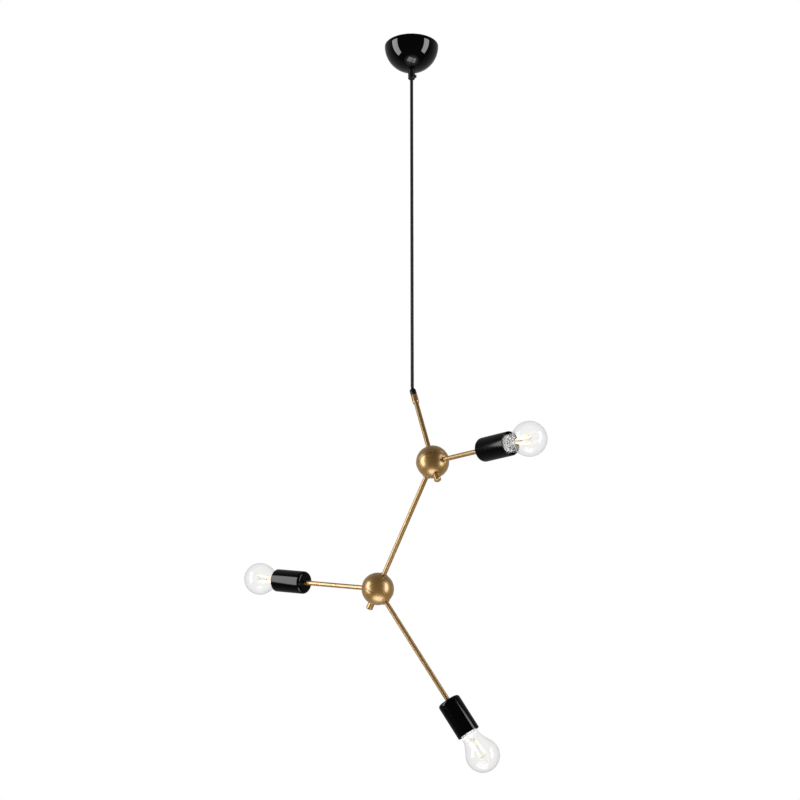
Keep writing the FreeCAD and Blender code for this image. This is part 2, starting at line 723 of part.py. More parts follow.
def front_shell(name, turn):
    """The half ball that carries two arms, with a lip that centres it in the back shell."""
    seam = S["seam_gap"] / 2
    lip_outer = on_ball(back_inner, S["lip_depth"]) - S["running_gap"]
    lip_inner = lip_outer - S["lip_wall"]
    hole = S["nut_hole_radius"]
    shell = turned(name, [
        (lip_inner, -S["lip_depth"]), (lip_outer, -S["lip_depth"]), (lip_outer, seam),
        (on_ball(front_radius, seam), seam), Arc(0), (hole, on_ball(front_radius, hole)),
        (hole, on_ball(front_inner, hole)), Arc(0),
        (on_ball(front_inner, S["lip_depth"]), S["lip_depth"]), (lip_inner, 0)])
    tools = []
    for i, angle in enumerate((turn, turn + S["arm_spread"].value)):
        aim = Rotation(Vector(0, 0, 1), angle).multVec(tilted)
        tools.append(cylinder("%s_entry%d" % (name, i), entry, S["ball_radius"] * 2,
                              Placement(Vector(), Rotation(Vector(0, 0, 1), aim))))
    return cut(name, shell, tools)


flange_top = on_ball(front_inner, S["stud_flange_radius"]) - S["running_gap"]
nut_seat = on_ball(front_radius, S["nut_hole_radius"]) + S["running_gap"]


def hub_stud(name):
    """Screwed on the incoming tube inside the ball; its threaded end takes the clamp nut."""
    outer = S["stud_radius"]
    top = -on_ball(back_inner, outer) + S["fit_gap"]
    chamber = S["stud_window"] * 2
    thread_end = nut_seat + S["clamp_nut_height"] * 0.75
    flange = S["stud_flange_radius"]
    body = turned(name, [
        (tube_passage, top), (outer, top), (outer, flange_top - S["stud_flange_height"]),
        (flange, flange_top - S["stud_flange_height"]), (flange, flange_top),
        (S["stud_thread_radius"], flange_top), (S["stud_thread_radius"], thread_end),
        (0, thread_end), (0, chamber), (tube_passage, chamber)])
    window = doc.addObject("Part::Box", name + "_window")
    for side, size in (("Length", outer * 4), ("Width", S["stud_window"]), ("Height", chamber * 1.5)):
        setattr(window, side, number(size))
        bind(window, side, size)
    window.Placement = Placement(Vector(-2 * outer.value, -S["stud_window"].value / 2,
                                        -chamber.value / 2), Rotation())
    return cut(name, body, [window])


def clamp_nut(name):
    """A round nut with a slightly wider rim and a rounded end."""
    outer = S["clamp_nut_radius"]
    rim = outer + S["clamp_nut_rim"]
    end = nut_seat + S["clamp_nut_height"]
    rounding = outer / 3
    band = S["clamp_nut_band"]
    bore = S["stud_thread_radius"] + S["fit_gap"]
    depth = nut_seat + S["clamp_nut_height"] * 0.8
    return turned(name, [
        (bore, nut_seat), (outer, nut_seat), (outer, end - rounding - band * 2),
        (rim, end - rounding - band), (rim, end - rounding), Arc(rim - rounding),
        (rim - rounding, end), (0, end), (0, depth), (bore, depth)])


def washer(name, ball):
    """A flat washer on a ball, at an arm's or a tube's hole."""
    low = on_ball(ball, entry) + S["fit_gap"] / 4
    return tube(name, S["washer_radius"], S["tube_radius"] + S["fit_gap"] / 2, low,
                low + S["washer_height"])


def entry_washer(name, length):
    """The same washer on an incoming tube, measured from the tube's start."""
    low = length - on_ball(S["ball_radius"], entry) - S["fit_gap"] / 4 - S["washer_height"]
    return tube(name, S["washer_radius"], S["tube_radius"] + S["fit_gap"] / 2, low,
                low + S["washer_height"])


def lock_nut(name, low):
    """A thin hexagon nut on a tube's threaded end."""
    return hex_nut(name, S["lock_nut_across"], tube_passage, low, S["lock_nut_height"])


def inner_nut(name):
    """The lock nut inside a front shell, its corners just clear of the ball."""
    corner = S["lock_nut_across"] / math.sqrt(3)
    return lock_nut(name, on_ball(front_inner, corner) - S["fit_gap"] - S["lock_nut_height"])


splice_low = S["tube_inside_ball"] - S["running_gap"] - S["splice_length"]
lead_start = splice_low + S["splice_floor"] + S["splice_slack"]


def splice_cap(name):
    """A closed cap over a lead's inner end."""
    low = splice_low
    high = low + S["splice_length"]
    bore = S["lead_radius"] + S["fit_gap"]
    return turned(name, [
        (0, low), (S["splice_radius"], low), (S["splice_radius"], high), (bore, high),
        (bore, low + S["splice_floor"]), (0, low + S["splice_floor"])])


def hub(name, frame, turn, spread_sign):
    """The back shell, front shell, stud, clamp nut and the two splice caps of one ball."""
    first = turn if spread_sign > 0 else turn - S["arm_spread"].value
    place(back_shell(name + "_back_shell"), frame)
    place(front_shell(name + "_front_shell", first), frame)
    place(hub_stud(name + "_stud"), frame)
    place(clamp_nut(name + "_clamp_nut"), frame)
    caps = []
    for i, angle in enumerate((first, first + S["arm_spread"].value)):
        cap = splice_cap("%s_cap%d" % (name, i))
        aim = Rotation(Vector(0, 0, 1), angle).multVec(tilted)
        cap.Placement = Placement(Vector(), Rotation(Vector(0, 0, 1), aim))
        caps.append(cap)
    place(group(name + "_splice_caps", caps), frame)


hub("upper_hub", upper_hub, S["upper_turn"].value, -1)
hub("lower_hub", lower_hub, S["lower_turn"].value, 1)
place(entry_washer("main_tube_washer", S["main_length"]), main_frame)
place(tube("link_tube", S["tube_radius"], S["tube_bore"], S["tube_inside_ball"],
           S["link_length"] - S["tube_inside_stud"]), link_frame)
place(rod("link_lead", S["lead_radius"], lead_start, S["link_length"] + S["stud_window"]), link_frame)
place(group("link_fasteners", [
    washer("link_washer", front_radius), inner_nut("link_nut"),
    entry_washer("link_end_washer", S["link_length"])]), link_frame)


# ---- arms, lampholders and lamps ----

def holder_cup(name, closed):
    """The outer cup of a lampholder, open at the lamp and rounded at the closed end."""
    outer = S["cup_radius"]
    inner = outer - S["cup_wall"]
    bend_out = S["cup_rounding"]
    bend_in = bend_out - S["cup_wall"]
    mouth = closed + S["cup_length"]
    return turned(name, [
        (tube_passage, closed), (outer - bend_out, closed), Arc(outer - bend_out),
        (outer, closed + bend_out), (outer, mouth), (inner, mouth), (inner, closed + bend_out),
        Arc(inner - bend_in), (inner - bend_in, closed + S["cup_wall"]),
        (tube_passage, closed + S["cup_wall"])])


def holder_insert(name, closed, floor):
    """The insulating insert: a thick floor with a wiring chamber, and a skirt for the shell."""
    low = closed + S["insert_seat"]
    outer = S["cup_radius"] - S["cup_wall"] - S["fit_gap"]
    chamfer = S["insert_chamfer"]
    bore = shell_outer + S["fit_gap"]
    skirt = bore + S["insert_skirt_wall"]
    skirt_end = floor + S["insert_skirt_length"]
    shoulder = floor + S["insert_skirt_length"] * 0.3
    chamber = S["lead_radius"] * 2
    ceiling = floor - S["insert_floor"]
    entry_end = low + S["insert_entry"]
    return turned(name, [
        (tube_passage, low), (outer - chamfer, low), (outer, low + chamfer), (outer, shoulder),
        (skirt, shoulder), (skirt, skirt_end), (bore, skirt_end), (bore, floor), (0, floor),
        (0, ceiling), (chamber, ceiling), (chamber, entry_end), (tube_passage, entry_end)])


def screw_shell(name, floor):
    """The threaded metal shell inside the insert, its thread shown as round ridges."""
    low = floor + S["shell_lift"]
    high = floor + S["insert_skirt_length"] - S["shell_inset"]
    pitch = S["thread_pitch"]
    valley = shell_outer - S["shell_metal"]
    corners = [(shell_outer, low), (shell_outer, high), (valley, high)]
    for i in range(SHELL_RIDGES):
        ridge = high - S["shell_ridge_inset"] - pitch * i
        corners += [(valley, ridge), (valley - S["shell_ridge"], ridge - pitch / 4),
                    (valley, ridge - pitch / 2)]
    corners.append((valley, low))
    return turned(name, corners)


def leaving_angle(globe, neck):
    """How far below its middle a globe's outline leaves the sphere to run straight to the neck."""
    reach = math.hypot(S["neck_back"].value, neck)
    return math.asin(globe / reach) - math.atan2(neck, S["neck_back"].value)


def lamp_glass(name, middle):
    """A pear-shaped envelope with a re-entrant stem, all one piece of glass."""
    globe = S["globe_radius"]
    neck = S["cap_radius"] + S["neck_step"]
    wall = S["glass_wall"]
    slope = leaving_angle(globe.value, neck.value)
    mouth = middle - S["neck_back"]
    foot = S["cap_radius"] - S["cap_thread"] - S["cap_sheet"] - S["running_gap"]
    low = mouth - S["glass_foot"]
    tuck = S["glass_tuck"]
    inside_bend = S["running_gap"]
    stem = S["stem_radius"]
    shoulder = middle - S["filament_low"] - S["stem_shoulder"]
    inner_globe = globe - wall
    return turned(name, [
        (0, middle + globe), Arc(0),
        (globe * math.cos(slope), middle - globe * math.sin(slope)), (neck, mouth),
        (foot, mouth - tuck), (foot, low), (0, low), (0, middle - S["stem_top"]),
        (stem / 2, middle - S["stem_top"]), (stem, shoulder), (stem * 1.5, mouth + tuck),
        (foot - wall * 1.5, mouth - tuck * 2.5), (foot - wall, mouth - tuck - inside_bend),
        (neck - wall, mouth - inside_bend),
        (inner_globe * math.cos(slope), middle - inner_globe * math.sin(slope)), Arc(0),
        (0, middle + inner_globe)])


def screw_cap(name, tip, mouth):
    """The lamp's screw cap: round ridges for its thread, and a wider rim round the glass."""
    outer = S["cap_radius"]
    valley = outer - S["cap_thread"]
    rim = outer + S["cap_rim_step"]
    metal = S["cap_sheet"]
    base = tip + S["cap_tip_height"]
    low = base + S["cap_cone"]
    pitch = S["thread_pitch"]
    start = low + S["thread_start"]
    slope_end = mouth - S["cap_rim_height"]
    slope_start = slope_end - S["cap_rim_height"]
    inside = S["fit_gap"] * 2
    corners = [(0, base), (S["cap_tip_radius"], base), (valley - S["cap_cone_inset"], low),
               (valley, low + S["cap_edge"])]
    for i in range(CAP_RIDGES):
        corners += [(valley, start + pitch * i), (outer, start + pitch * i + pitch / 2)]
    corners += [
        (valley, start + pitch * CAP_RIDGES), (valley, slope_start), (rim, slope_end), (rim, mouth),
        (rim - metal, mouth), (rim - metal, slope_end + inside),
        (valley - metal, slope_start - inside), (valley - metal, start), (0, start)]
    return turned(name, corners)


def filaments(name, middle):
    """Light filaments round the stem, leaning outwards."""
    rods = []
    low = middle.value - S["filament_low"].value
    high = middle.value + S["filament_high"].value
    for i in range(FILAMENTS):
        turn = Rotation(Vector(0, 0, 1), (i + 0.5) * 360 / FILAMENTS)
        start = turn.multVec(Vector(S["filament_ring_low"].value, 0, low))
        stop = turn.multVec(Vector(S["filament_ring_high"].value, 0, high))
        rods.append(cylinder("%s_rod%d" % (name, i), S["filament_radius"],
                             (stop - start).Length,
                             Placement(start, Rotation(Vector(0, 0, 1), stop - start))))
    return group(name, rods)


SHELL_RIDGES = 5
CAP_RIDGES = 4
FILAMENTS = 4
shell_outer = S["cap_radius"] + S["running_gap"] + S["shell_ridge"] + S["shell_metal"]


def arm(name, frame, length):
    """One arm: its tube, fasteners and lead, the lampholder, and the lamp."""
    closed = length - S["globe_past_mouth"] - S["cup_length"]
    lamp_tip = length - S["lamp_tip_back"]
    tongue_top = lamp_tip - S["running_gap"]
    floor = tongue_top - S["contact_height"]
    place(tube(name + "_arm_tube", S["tube_radius"], S["tube_bore"], S["tube_inside_ball"],
               closed + S["tube_in_cup"]), frame)
    place(group(name + "_arm_fasteners", [
        washer(name + "_washer", front_radius), inner_nut(name + "_ball_nut"),
        lock_nut(name + "_cup_nut", closed + S["cup_wall"] + S["fit_gap"])]), frame)
    place(rod(name + "_arm_lead", S["lead_radius"], lead_start,
              closed + S["tube_in_cup"] + S["lead_past_tube"]), frame)
    place(holder_cup(name + "_holder_cup", closed), frame)
    place(holder_insert(name + "_holder_insert", closed, floor), frame)
    place(group(name + "_holder_contacts", [
        screw_shell(name + "_screw_shell", floor),
        rod(name + "_tongue", S["cap_tip_radius"] * 0.7, floor, tongue_top)]), frame)
    place(screw_cap(name + "_lamp_cap", lamp_tip, length - S["neck_back"]), frame)
    place(rod(name + "_lamp_tip", S["cap_tip_radius"], lamp_tip, lamp_tip + S["cap_tip_height"]), frame)
    place(lamp_glass(name + "_lamp_glass", length), frame)
    place(filaments(name + "_lamp_filaments", length), frame)


arm("right", right_frame, S["right_length"])
arm("left", left_frame, S["left_length"])
arm("bottom", bottom_frame, S["bottom_length"])

doc.recompute()

# ---- check, then write each sub-part ----

for obj in doc.Objects:
    if "Invalid" in obj.State or "Error" in obj.State:
        raise RuntimeError("failed object: %s %s" % (obj.Label, obj.State))
for piece in parts:
    if piece.Shape.isNull() or not piece.Shape.isValid() or not piece.Shape.Solids:
        raise RuntimeError("bad shape: " + piece.Label)
    if len(piece.Shape.Solids) > 1 and piece.TypeId not in ("Part::Compound", "Part::Feature"):
        raise RuntimeError("more than one solid: " + piece.Label)

os.makedirs("parts", exist_ok=True)
for piece in parts:
    piece.Shape.exportStep("parts/%s.step" % piece.Label)
print("wrote", len(parts), "sub-parts")
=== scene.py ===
import json
import math

import bpy
import numpy as np
from bpy.props import FloatProperty, FloatVectorProperty, IntProperty, PointerProperty
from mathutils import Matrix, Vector


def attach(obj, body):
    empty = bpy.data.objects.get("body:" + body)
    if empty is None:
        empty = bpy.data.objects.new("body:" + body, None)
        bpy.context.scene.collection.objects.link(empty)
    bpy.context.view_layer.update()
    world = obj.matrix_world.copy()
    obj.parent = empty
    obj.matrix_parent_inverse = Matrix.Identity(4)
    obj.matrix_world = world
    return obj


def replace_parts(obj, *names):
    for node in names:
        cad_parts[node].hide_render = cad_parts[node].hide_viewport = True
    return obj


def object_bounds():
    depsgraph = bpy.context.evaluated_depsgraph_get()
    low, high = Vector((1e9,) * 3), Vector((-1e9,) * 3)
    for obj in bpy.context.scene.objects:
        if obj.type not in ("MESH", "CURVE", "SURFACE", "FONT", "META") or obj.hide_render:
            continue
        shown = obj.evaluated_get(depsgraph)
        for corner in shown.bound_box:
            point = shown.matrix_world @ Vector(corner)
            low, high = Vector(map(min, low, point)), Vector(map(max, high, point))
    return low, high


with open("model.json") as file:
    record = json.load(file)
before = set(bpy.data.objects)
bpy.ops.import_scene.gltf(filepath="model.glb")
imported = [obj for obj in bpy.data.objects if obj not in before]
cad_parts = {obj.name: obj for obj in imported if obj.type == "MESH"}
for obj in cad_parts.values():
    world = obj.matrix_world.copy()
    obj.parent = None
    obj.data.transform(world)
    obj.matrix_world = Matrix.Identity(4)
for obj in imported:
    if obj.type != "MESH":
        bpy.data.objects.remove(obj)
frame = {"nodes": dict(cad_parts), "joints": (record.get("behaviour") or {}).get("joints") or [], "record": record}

bl_info = {
    "name": "Ball hub pendant light",
    "version": (1, 0, 0),
    "blender": (4, 5, 0),
    "location": "View3D > Sidebar > Pendant",
    "description": "Builds the finished surfaces of a three lamp pendant light round its CAD frame",
    "category": "Object",
}

CAD_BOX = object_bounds()
MM = 0.001
UP = np.array([0.0, 0.0, 1.0])
FULL_TURN = 2 * math.pi
NOTHING = 1e-9    # a length below this counts as none


# ---- places, read from the frame ----

def node_points(node):
    """All vertices of a CAD node, one row each."""
    mesh = frame["nodes"][node].data
    flat = np.zeros(len(mesh.vertices) * 3)
    mesh.vertices.foreach_get("co", flat)
    return flat.reshape(-1, 3)


def joint(name):
    """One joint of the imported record."""
    return next(j for j in frame["joints"] if j["name"] == name)


class Axis:
    """A straight centre line: local heights run along it, and angles turn round it."""

    def __init__(self, origin, direction):
        self.origin = np.array(origin, float)
        self.along = np.array(direction, float) / np.linalg.norm(direction)
        side = np.cross(self.along, UP)
        if np.linalg.norm(side) < NOTHING:
            side = np.array([1.0, 0.0, 0.0])
        self.level = side / np.linalg.norm(side)
        self.across = np.cross(self.along, self.level)

    def place(self, radius, height, angle):
        """Point = origin + height along the axis + radius turned by the angle round it."""
        radius, height, angle = np.broadcast_arrays(radius, height, angle)
        return (self.origin + height[..., None] * self.along
                + (radius * np.cos(angle))[..., None] * self.level
                + (radius * np.sin(angle))[..., None] * self.across)

    def span(self, node):
        """Lowest and highest place of a CAD node along the axis."""
        height = (node_points(node) - self.origin) @ self.along
        return height.min(), height.max()

    def reach(self, node):
        """Largest distance of a CAD node from the axis."""
        offset = node_points(node) - self.origin
        return np.linalg.norm(offset - np.outer(offset @ self.along, self.along), axis=1).max()

    def at(self, height):
        """The same axis with its origin moved along itself."""
        return Axis(self.origin + height * self.along, self.along)


HANG = Axis((0, 0, 0), (0, 0, -1))
UPPER = joint("upper_hub_turn")
LOWER = joint("lower_hub_turn")
MAIN = Axis(UPPER["pos_m"], UPPER["axis"])
LINK = Axis(UPPER["pos_m"], LOWER["axis"])
LOWER_HUB = Axis(LOWER["pos_m"], LOWER["axis"])
ARMS = {
    "right": Axis(UPPER["pos_m"], joint("right_lamp_removal")["axis"]),
    "left": Axis(LOWER["pos_m"], joint("left_lamp_removal")["axis"]),
    "bottom": Axis(LOWER["pos_m"], joint("bottom_lamp_removal")["axis"]),
}
HOLDER_BODY = {"right": "upper_front", "left": "lower_front", "bottom": "lower_front"}


# ---- surfaces worked out on grids ----

def grid_faces(index, close_rows):
    """Quads between neighbouring rows and columns of an index grid. The last column joins the
    first, and where close_rows is true the last row joins the first."""
    right = np.roll(index, -1, axis=1)
    lower = np.roll(index, -1, axis=0)
    corner = np.roll(right, -1, axis=0)
    quads = np.stack([index, right, corner, lower], axis=-1)
    return (quads if close_rows else quads[:-1]).reshape(-1, 4)


def build(name, grids, material, body, attributes=None, sharp=40.0):
    """One mesh from grids of points (rows, columns, 3), each with True where its rows close in a
    ring. A row whose points are all one point is a pole, and its faces become triangles."""
    points, faces = [], []
    start = 0
    for grid, close_rows in grids:
        rows, columns = grid.shape[:2]
        pole = np.ptp(grid, axis=1).max(axis=1) < NOTHING
        index = np.arange(rows * columns).reshape(rows, columns)
        index[pole] = index[pole][:, :1]
        quads = grid_faces(index, close_rows) + start
        points.append(grid.reshape(-1, 3))
        faces.append(quads)
        start += rows * columns
    quads = np.concatenate(faces)
    flat = np.concatenate(points)
    used, compact = np.unique(quads, return_inverse=True)
    quads = compact.reshape(-1, 4)
    keep = np.roll(quads, -1, axis=1) != quads
    polygons = [face[mask].tolist() for face, mask in zip(quads, keep) if mask.sum() > 2]
    mesh = bpy.data.meshes.new(name)
    mesh.from_pydata(flat[used].tolist(), [], polygons)
    mesh.validate()
    mesh.shade_smooth()
    mesh.set_sharp_from_angle(angle=math.radians(sharp))
    for label, values in (attributes or {}).items():
        layer = mesh.attributes.new(label, "FLOAT", "POINT")
        layer.data.foreach_set("value", np.asarray(values, np.float32).reshape(-1)[used])
    mesh.materials.append(material)
    piece = bpy.data.objects.new(name, mesh)
    bpy.context.scene.collection.objects.link(piece)
    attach(piece, body)
    return piece


def rounded(corners, steps=5):
    """A closed outline from (radius, height, rounding) corners. Each rounded corner is the curve
    (1-t)^2 a + 2t(1-t) corner + t^2 b between the points a and b one rounding away from it."""
    spots = np.array([c[:2] for c in corners], float)
    softness = np.array([c[2] for c in corners], float)
    run_in = np.roll(spots, 1, axis=0) - spots
    run_out = np.roll(spots, -1, axis=0) - spots
    first = spots + run_in / np.linalg.norm(run_in, axis=1)[:, None] * softness[:, None]
    last = spots + run_out / np.linalg.norm(run_out, axis=1)[:, None] * softness[:, None]
    t = np.linspace(0.0, 1.0, steps)[None, :, None]
    curve = ((1 - t) ** 2 * first[:, None] + 2 * t * (1 - t) * spots[:, None]
             + t ** 2 * last[:, None])
    sharp = softness < NOTHING
    pieces = [curve[i, :1] if sharp[i] else curve[i] for i in range(len(corners))]
    return np.concatenate(pieces)


def arc(radius, centre, start, stop, steps):
    """(radius cos a, centre + radius sin a) from one angle in degrees to another."""
    a = np.radians(np.linspace(start, stop, steps))
    return np.stack([radius * np.cos(a), centre + radius * np.sin(a)], axis=1)


def turned(axis, outline, turns=64, thread=None, across=None):
    """An outline carried round an axis: radius(row, angle) = outline radius, plus a thread's
    ridge depth * wave(height / pitch - angle / full turn), cut to a hexagon where across is given.
    Returns the grid and whether its rows close in a ring."""
    outline = np.asarray(outline, float)
    r, h = outline[:, 0], outline[:, 1]
    area = np.sum(r * np.roll(h, -1) - np.roll(r, -1) * h)
    if area < 0:
        r, h = r[::-1], h[::-1]
    angle = np.linspace(0.0, FULL_TURN, turns, endpoint=False)
    radius = np.repeat(r[:, None], turns, axis=1)
    if thread is not None:
        pitch, depth, low, high = thread
        phase = h[:, None] / pitch - angle[None, :] / FULL_TURN
        inside = np.clip((h - low) / pitch, 0, 1) * np.clip((high - h) / pitch, 0, 1)
        radius = radius + depth * inside[:, None] * 0.5 * (1 + np.cos(FULL_TURN * phase))
    if across is not None:
        sector = math.pi / 3
        flat = across / 2 / np.cos((angle + sector / 2) % sector - sector / 2)
        radius = np.minimum(radius, flat[None, :])
    closed = bool(r[0] > NOTHING or r[-1] > NOTHING)
    return axis.place(radius, h[:, None], angle[None, :]), closed


def wire(path, radius, rings=10):
    """A round wire along a path of points: each ring is the path's point plus the radius turned
    square to the path, and each end is closed by a pole on the path."""
    path = np.asarray(path, float)
    step = np.gradient(path, axis=0)
    step /= np.linalg.norm(step, axis=1)[:, None]
    guide = np.eye(3)[np.argmin(np.abs(step.mean(axis=0)))]
    side = np.cross(step, guide)
    side /= np.linalg.norm(side, axis=1)[:, None]
    other = np.cross(step, side)
    angle = np.linspace(0, FULL_TURN, rings, endpoint=False)
    ring = (np.cos(angle)[None, :, None] * side[:, None]
            + np.sin(angle)[None, :, None] * other[:, None])
    body = path[:, None] + radius * ring
    ends = [np.repeat(path[:1, None], rings, axis=1), np.repeat(path[-1:, None], rings, axis=1)]
    return np.concatenate([ends[0], body, ends[1]])[:, ::-1], False


def bezier(a, b, c, d, steps):
    """The curve (1-t)^3 a + 3t(1-t)^2 b + 3t^2(1-t) c + t^3 d: it runs from a to d, leaves
    towards b and arrives from c."""
    t = np.linspace(0.0, 1.0, steps)[:, None]
    a, b, c, d = (np.asarray(p, float) for p in (a, b, c, d))
    return (1 - t) ** 3 * a + 3 * t * (1 - t) ** 2 * b + 3 * t * t * (1 - t) * c + t ** 3 * d


# ---- finishes ----

RANGE_SOCKETS = ("From Min", "From Max", "To Min", "To Max")


class Finish:
    """One material with one Principled shader, and short ways to drive it with patterns."""

    def __init__(self, name, colour, **sockets):
        self.material = bpy.data.materials.new(name)
        self.material.use_nodes = True
        self.nodes = self.material.node_tree.nodes
        self.links = self.material.node_tree.links
        self.shader = self.nodes["Principled BSDF"]
        self.set("Base Color", (*colour[:3], 1.0))
        for socket, value in sockets.items():
            self.set(socket.replace("_", " "), value)
        self.place = self.nodes.new("ShaderNodeTexCoord").outputs["Object"]

    def set(self, socket, value):
        """Set one of the shader's own sockets."""
        self.shader.inputs[socket].default_value = value

    def drive(self, socket, output):
        """Link a pattern to one of the shader's sockets."""
        self.links.new(output, self.shader.inputs[socket])

    def noise(self, scale, detail=3.0, stretch=(1.0, 1.0, 1.0)):
        """Cloudy noise in object space; a stretch above 1 squeezes it along that direction."""
        mapping = self.nodes.new("ShaderNodeMapping")
        mapping.inputs["Scale"].default_value = stretch
        self.links.new(self.place, mapping.inputs["Vector"])
        node = self.nodes.new("ShaderNodeTexNoise")
        node.inputs["Scale"].default_value = scale
        node.inputs["Detail"].default_value = detail
        self.links.new(mapping.outputs["Vector"], node.inputs["Vector"])
        return node.outputs["Fac"]

    def between(self, value, low, high, start=0.3, stop=0.7):
        """A number that goes from low to high as the pattern goes from start to stop."""
        node = self.nodes.new("ShaderNodeMapRange")
        for label, number in zip(RANGE_SOCKETS, (start, stop, low, high)):
            node.inputs[label].default_value = number
        self.links.new(value, node.inputs["Value"])
        return node.outputs["Result"]

    def colours(self, value, stops):
        """A colour from (place, colour) stops along a pattern."""
        ramp = self.nodes.new("ShaderNodeValToRGB")
        marks = ramp.color_ramp.elements
        while len(marks) < len(stops):
            marks.new(0.5)
        for mark, (spot, colour) in zip(marks, stops):
            mark.position = spot
            mark.color = (*colour[:3], 1.0)
        self.links.new(value, ramp.inputs["Fac"])
        return ramp.outputs["Color"]

    def bump(self, value, height, strength=1.0):
        """Raise the surface by a pattern; height is in metres."""
        node = self.nodes.new("ShaderNodeBump")
        node.inputs["Distance"].default_value = height
        node.inputs["Strength"].default_value = strength
        self.links.new(value, node.inputs["Height"])
        self.drive("Normal", node.outputs["Normal"])

    def attribute(self, label):
        """A number stored on the mesh's points."""
        node = self.nodes.new("ShaderNodeAttribute")
        node.attribute_name = label
        return node.outputs["Fac"]


def shade(colour, share):
    """The same colour, darker or lighter."""
    return tuple(min(1.0, c * share) for c in colour[:3])


def satin_brass():
    """Brass-toned lacquer: fine metallic grain, faint cloudiness, and a thin soft clear coat."""
    look = bpy.context.scene.pendant_finish
    f = Finish("satin_brass", look.brass, Metallic=0.55, Roughness=0.37, Coat_Weight=0.9,
               Coat_Roughness=0.27, Coat_IOR=1.6)
    cloud = f.noise(26.0, 4.0)
    grain = f.noise(900.0, 2.0)
    f.drive("Base Color", f.colours(cloud, [(0.3, shade(look.brass, 0.9)),
                                            (0.7, shade(look.brass, 1.08))]))
    f.drive("Roughness", f.between(f.noise(140.0, 5.0), 0.34, 0.39))
    f.bump(grain, 0.000003, 0.1)
    return f.material


def gloss_black():
    """Black enamel with a deep clear coat and a trace of orange peel."""
    look = bpy.context.scene.pendant_finish
    f = Finish("gloss_black_enamel", look.black, Roughness=0.3, Specular_IOR_Level=0.0,
               Coat_Weight=0.85, Coat_Roughness=0.03)
    f.drive("Roughness", f.between(f.noise(60.0, 4.0), 0.26, 0.36))
    f.bump(f.noise(300.0, 2.0), 0.000004, 0.2)
    return f.material


def glazed_black():
    """Black moulded holder with a glassy skin, slightly uneven along the mould."""
    look = bpy.context.scene.pendant_finish
    f = Finish("glazed_black_holder", look.black, Roughness=0.3, Specular_IOR_Level=0.0,
               Coat_Weight=0.5, Coat_Roughness=0.1)
    f.drive("Roughness", f.between(f.noise(90.0, 4.0), 0.25, 0.35))
    f.bump(f.noise(160.0, 3.0), 0.00001, 0.2)
    return f.material


def satin_black():
    """Black moulded plastic with a fine spark-eroded grain."""
    look = bpy.context.scene.pendant_finish
    f = Finish("satin_black_plastic", look.black, Roughness=0.4, Specular_IOR_Level=0.35)
    f.drive("Roughness", f.between(f.noise(900.0, 3.0), 0.34, 0.5))
    f.bump(f.noise(3200.0, 2.0), 0.000006, 0.5)
    return f.material


def cord_jacket():
    """Soft black jacket of the cord, with long faint drawing marks and rubbed patches."""
    look = bpy.context.scene.pendant_finish
    f = Finish("cord_jacket", look.cord, Roughness=0.5, Specular_IOR_Level=0.35, Sheen_Weight=0.05,
               Sheen_Roughness=0.4)
    drawn = f.noise(700.0, 3.0, (1.0, 1.0, 0.03))
    f.drive("Base Color", f.colours(f.noise(30.0, 3.0),
                                    [(0.3, shade(look.cord, 0.8)), (0.75, shade(look.cord, 1.35))]))
    f.drive("Roughness", f.between(drawn, 0.42, 0.58))
    f.bump(drawn, 0.00001, 0.4)
    return f.material


def clear_glass():
    """Colourless thin blown glass, faintly milky where the flame worked its neck. Shadow rays
    pass straight through, as light does through a thin wall."""
    f = Finish("clear_glass", (1.0, 1.0, 1.0), Roughness=0.0, IOR=1.38)
    f.drive("Transmission Weight", f.between(f.attribute("neck"), 1.0, 0.7, 0.0, 1.0))
    path = f.nodes.new("ShaderNodeLightPath")
    open_wall = f.nodes.new("ShaderNodeBsdfTransparent")
    mix = f.nodes.new("ShaderNodeMixShader")
    f.links.new(path.outputs["Is Shadow Ray"], mix.inputs["Fac"])
    f.links.new(f.shader.outputs["BSDF"], mix.inputs[1])
    f.links.new(open_wall.outputs["BSDF"], mix.inputs[2])
    f.links.new(mix.outputs["Shader"], f.nodes["Material Output"].inputs["Surface"])
    return f.material


def glowing_phosphor():
    """Light filament: warm white light in the middle of its length, amber at the two ends."""
    look = bpy.context.scene.pendant_finish
    f = Finish("glowing_phosphor", (0.9, 0.62, 0.2), Roughness=0.6, Emission_Strength=look.glow)
    dimmed = shade(look.glow_colour, 0.55)
    amber = (dimmed[0], dimmed[1] * 0.55, dimmed[2] * 0.12)
    ember = shade(amber, 0.35)
    f.drive("Emission Color", f.colours(f.attribute("along"), [
        (0.0, ember), (0.07, amber), (0.16, look.glow_colour), (0.84, look.glow_colour),
        (0.93, amber), (1.0, ember)]))
    return f.material


def plated_metal(name, colour, low, high, scale=220.0, stretch=(1.0, 1.0, 1.0)):
    """Bright plated or bare metal with fine handling marks."""
    f = Finish(name, colour, Metallic=1.0, Roughness=low)
    marks = f.noise(scale, 5.0, stretch)
    f.drive("Roughness", f.between(marks, low, high))
    f.drive("Base Color", f.colours(f.noise(scale / 6, 3.0),
                                    [(0.3, shade(colour, 0.86)), (0.7, colour)]))
    f.bump(marks, 0.000005, 0.3)
    return f.material


def moulding(name, colour, roughness, scale=900.0):
    """Plain moulded plastic or fired clay with a fine grain."""
    f = Finish(name, colour, Roughness=roughness)
    f.drive("Roughness", f.between(f.noise(scale, 4.0), roughness * 0.85, roughness * 1.15))
    f.drive("Base Color", f.colours(f.noise(scale / 12, 3.0),
                                    [(0.3, shade(colour, 0.9)), (0.7, colour)]))
    f.bump(f.noise(scale * 2, 2.0), 0.000006, 0.4)
    return f.material


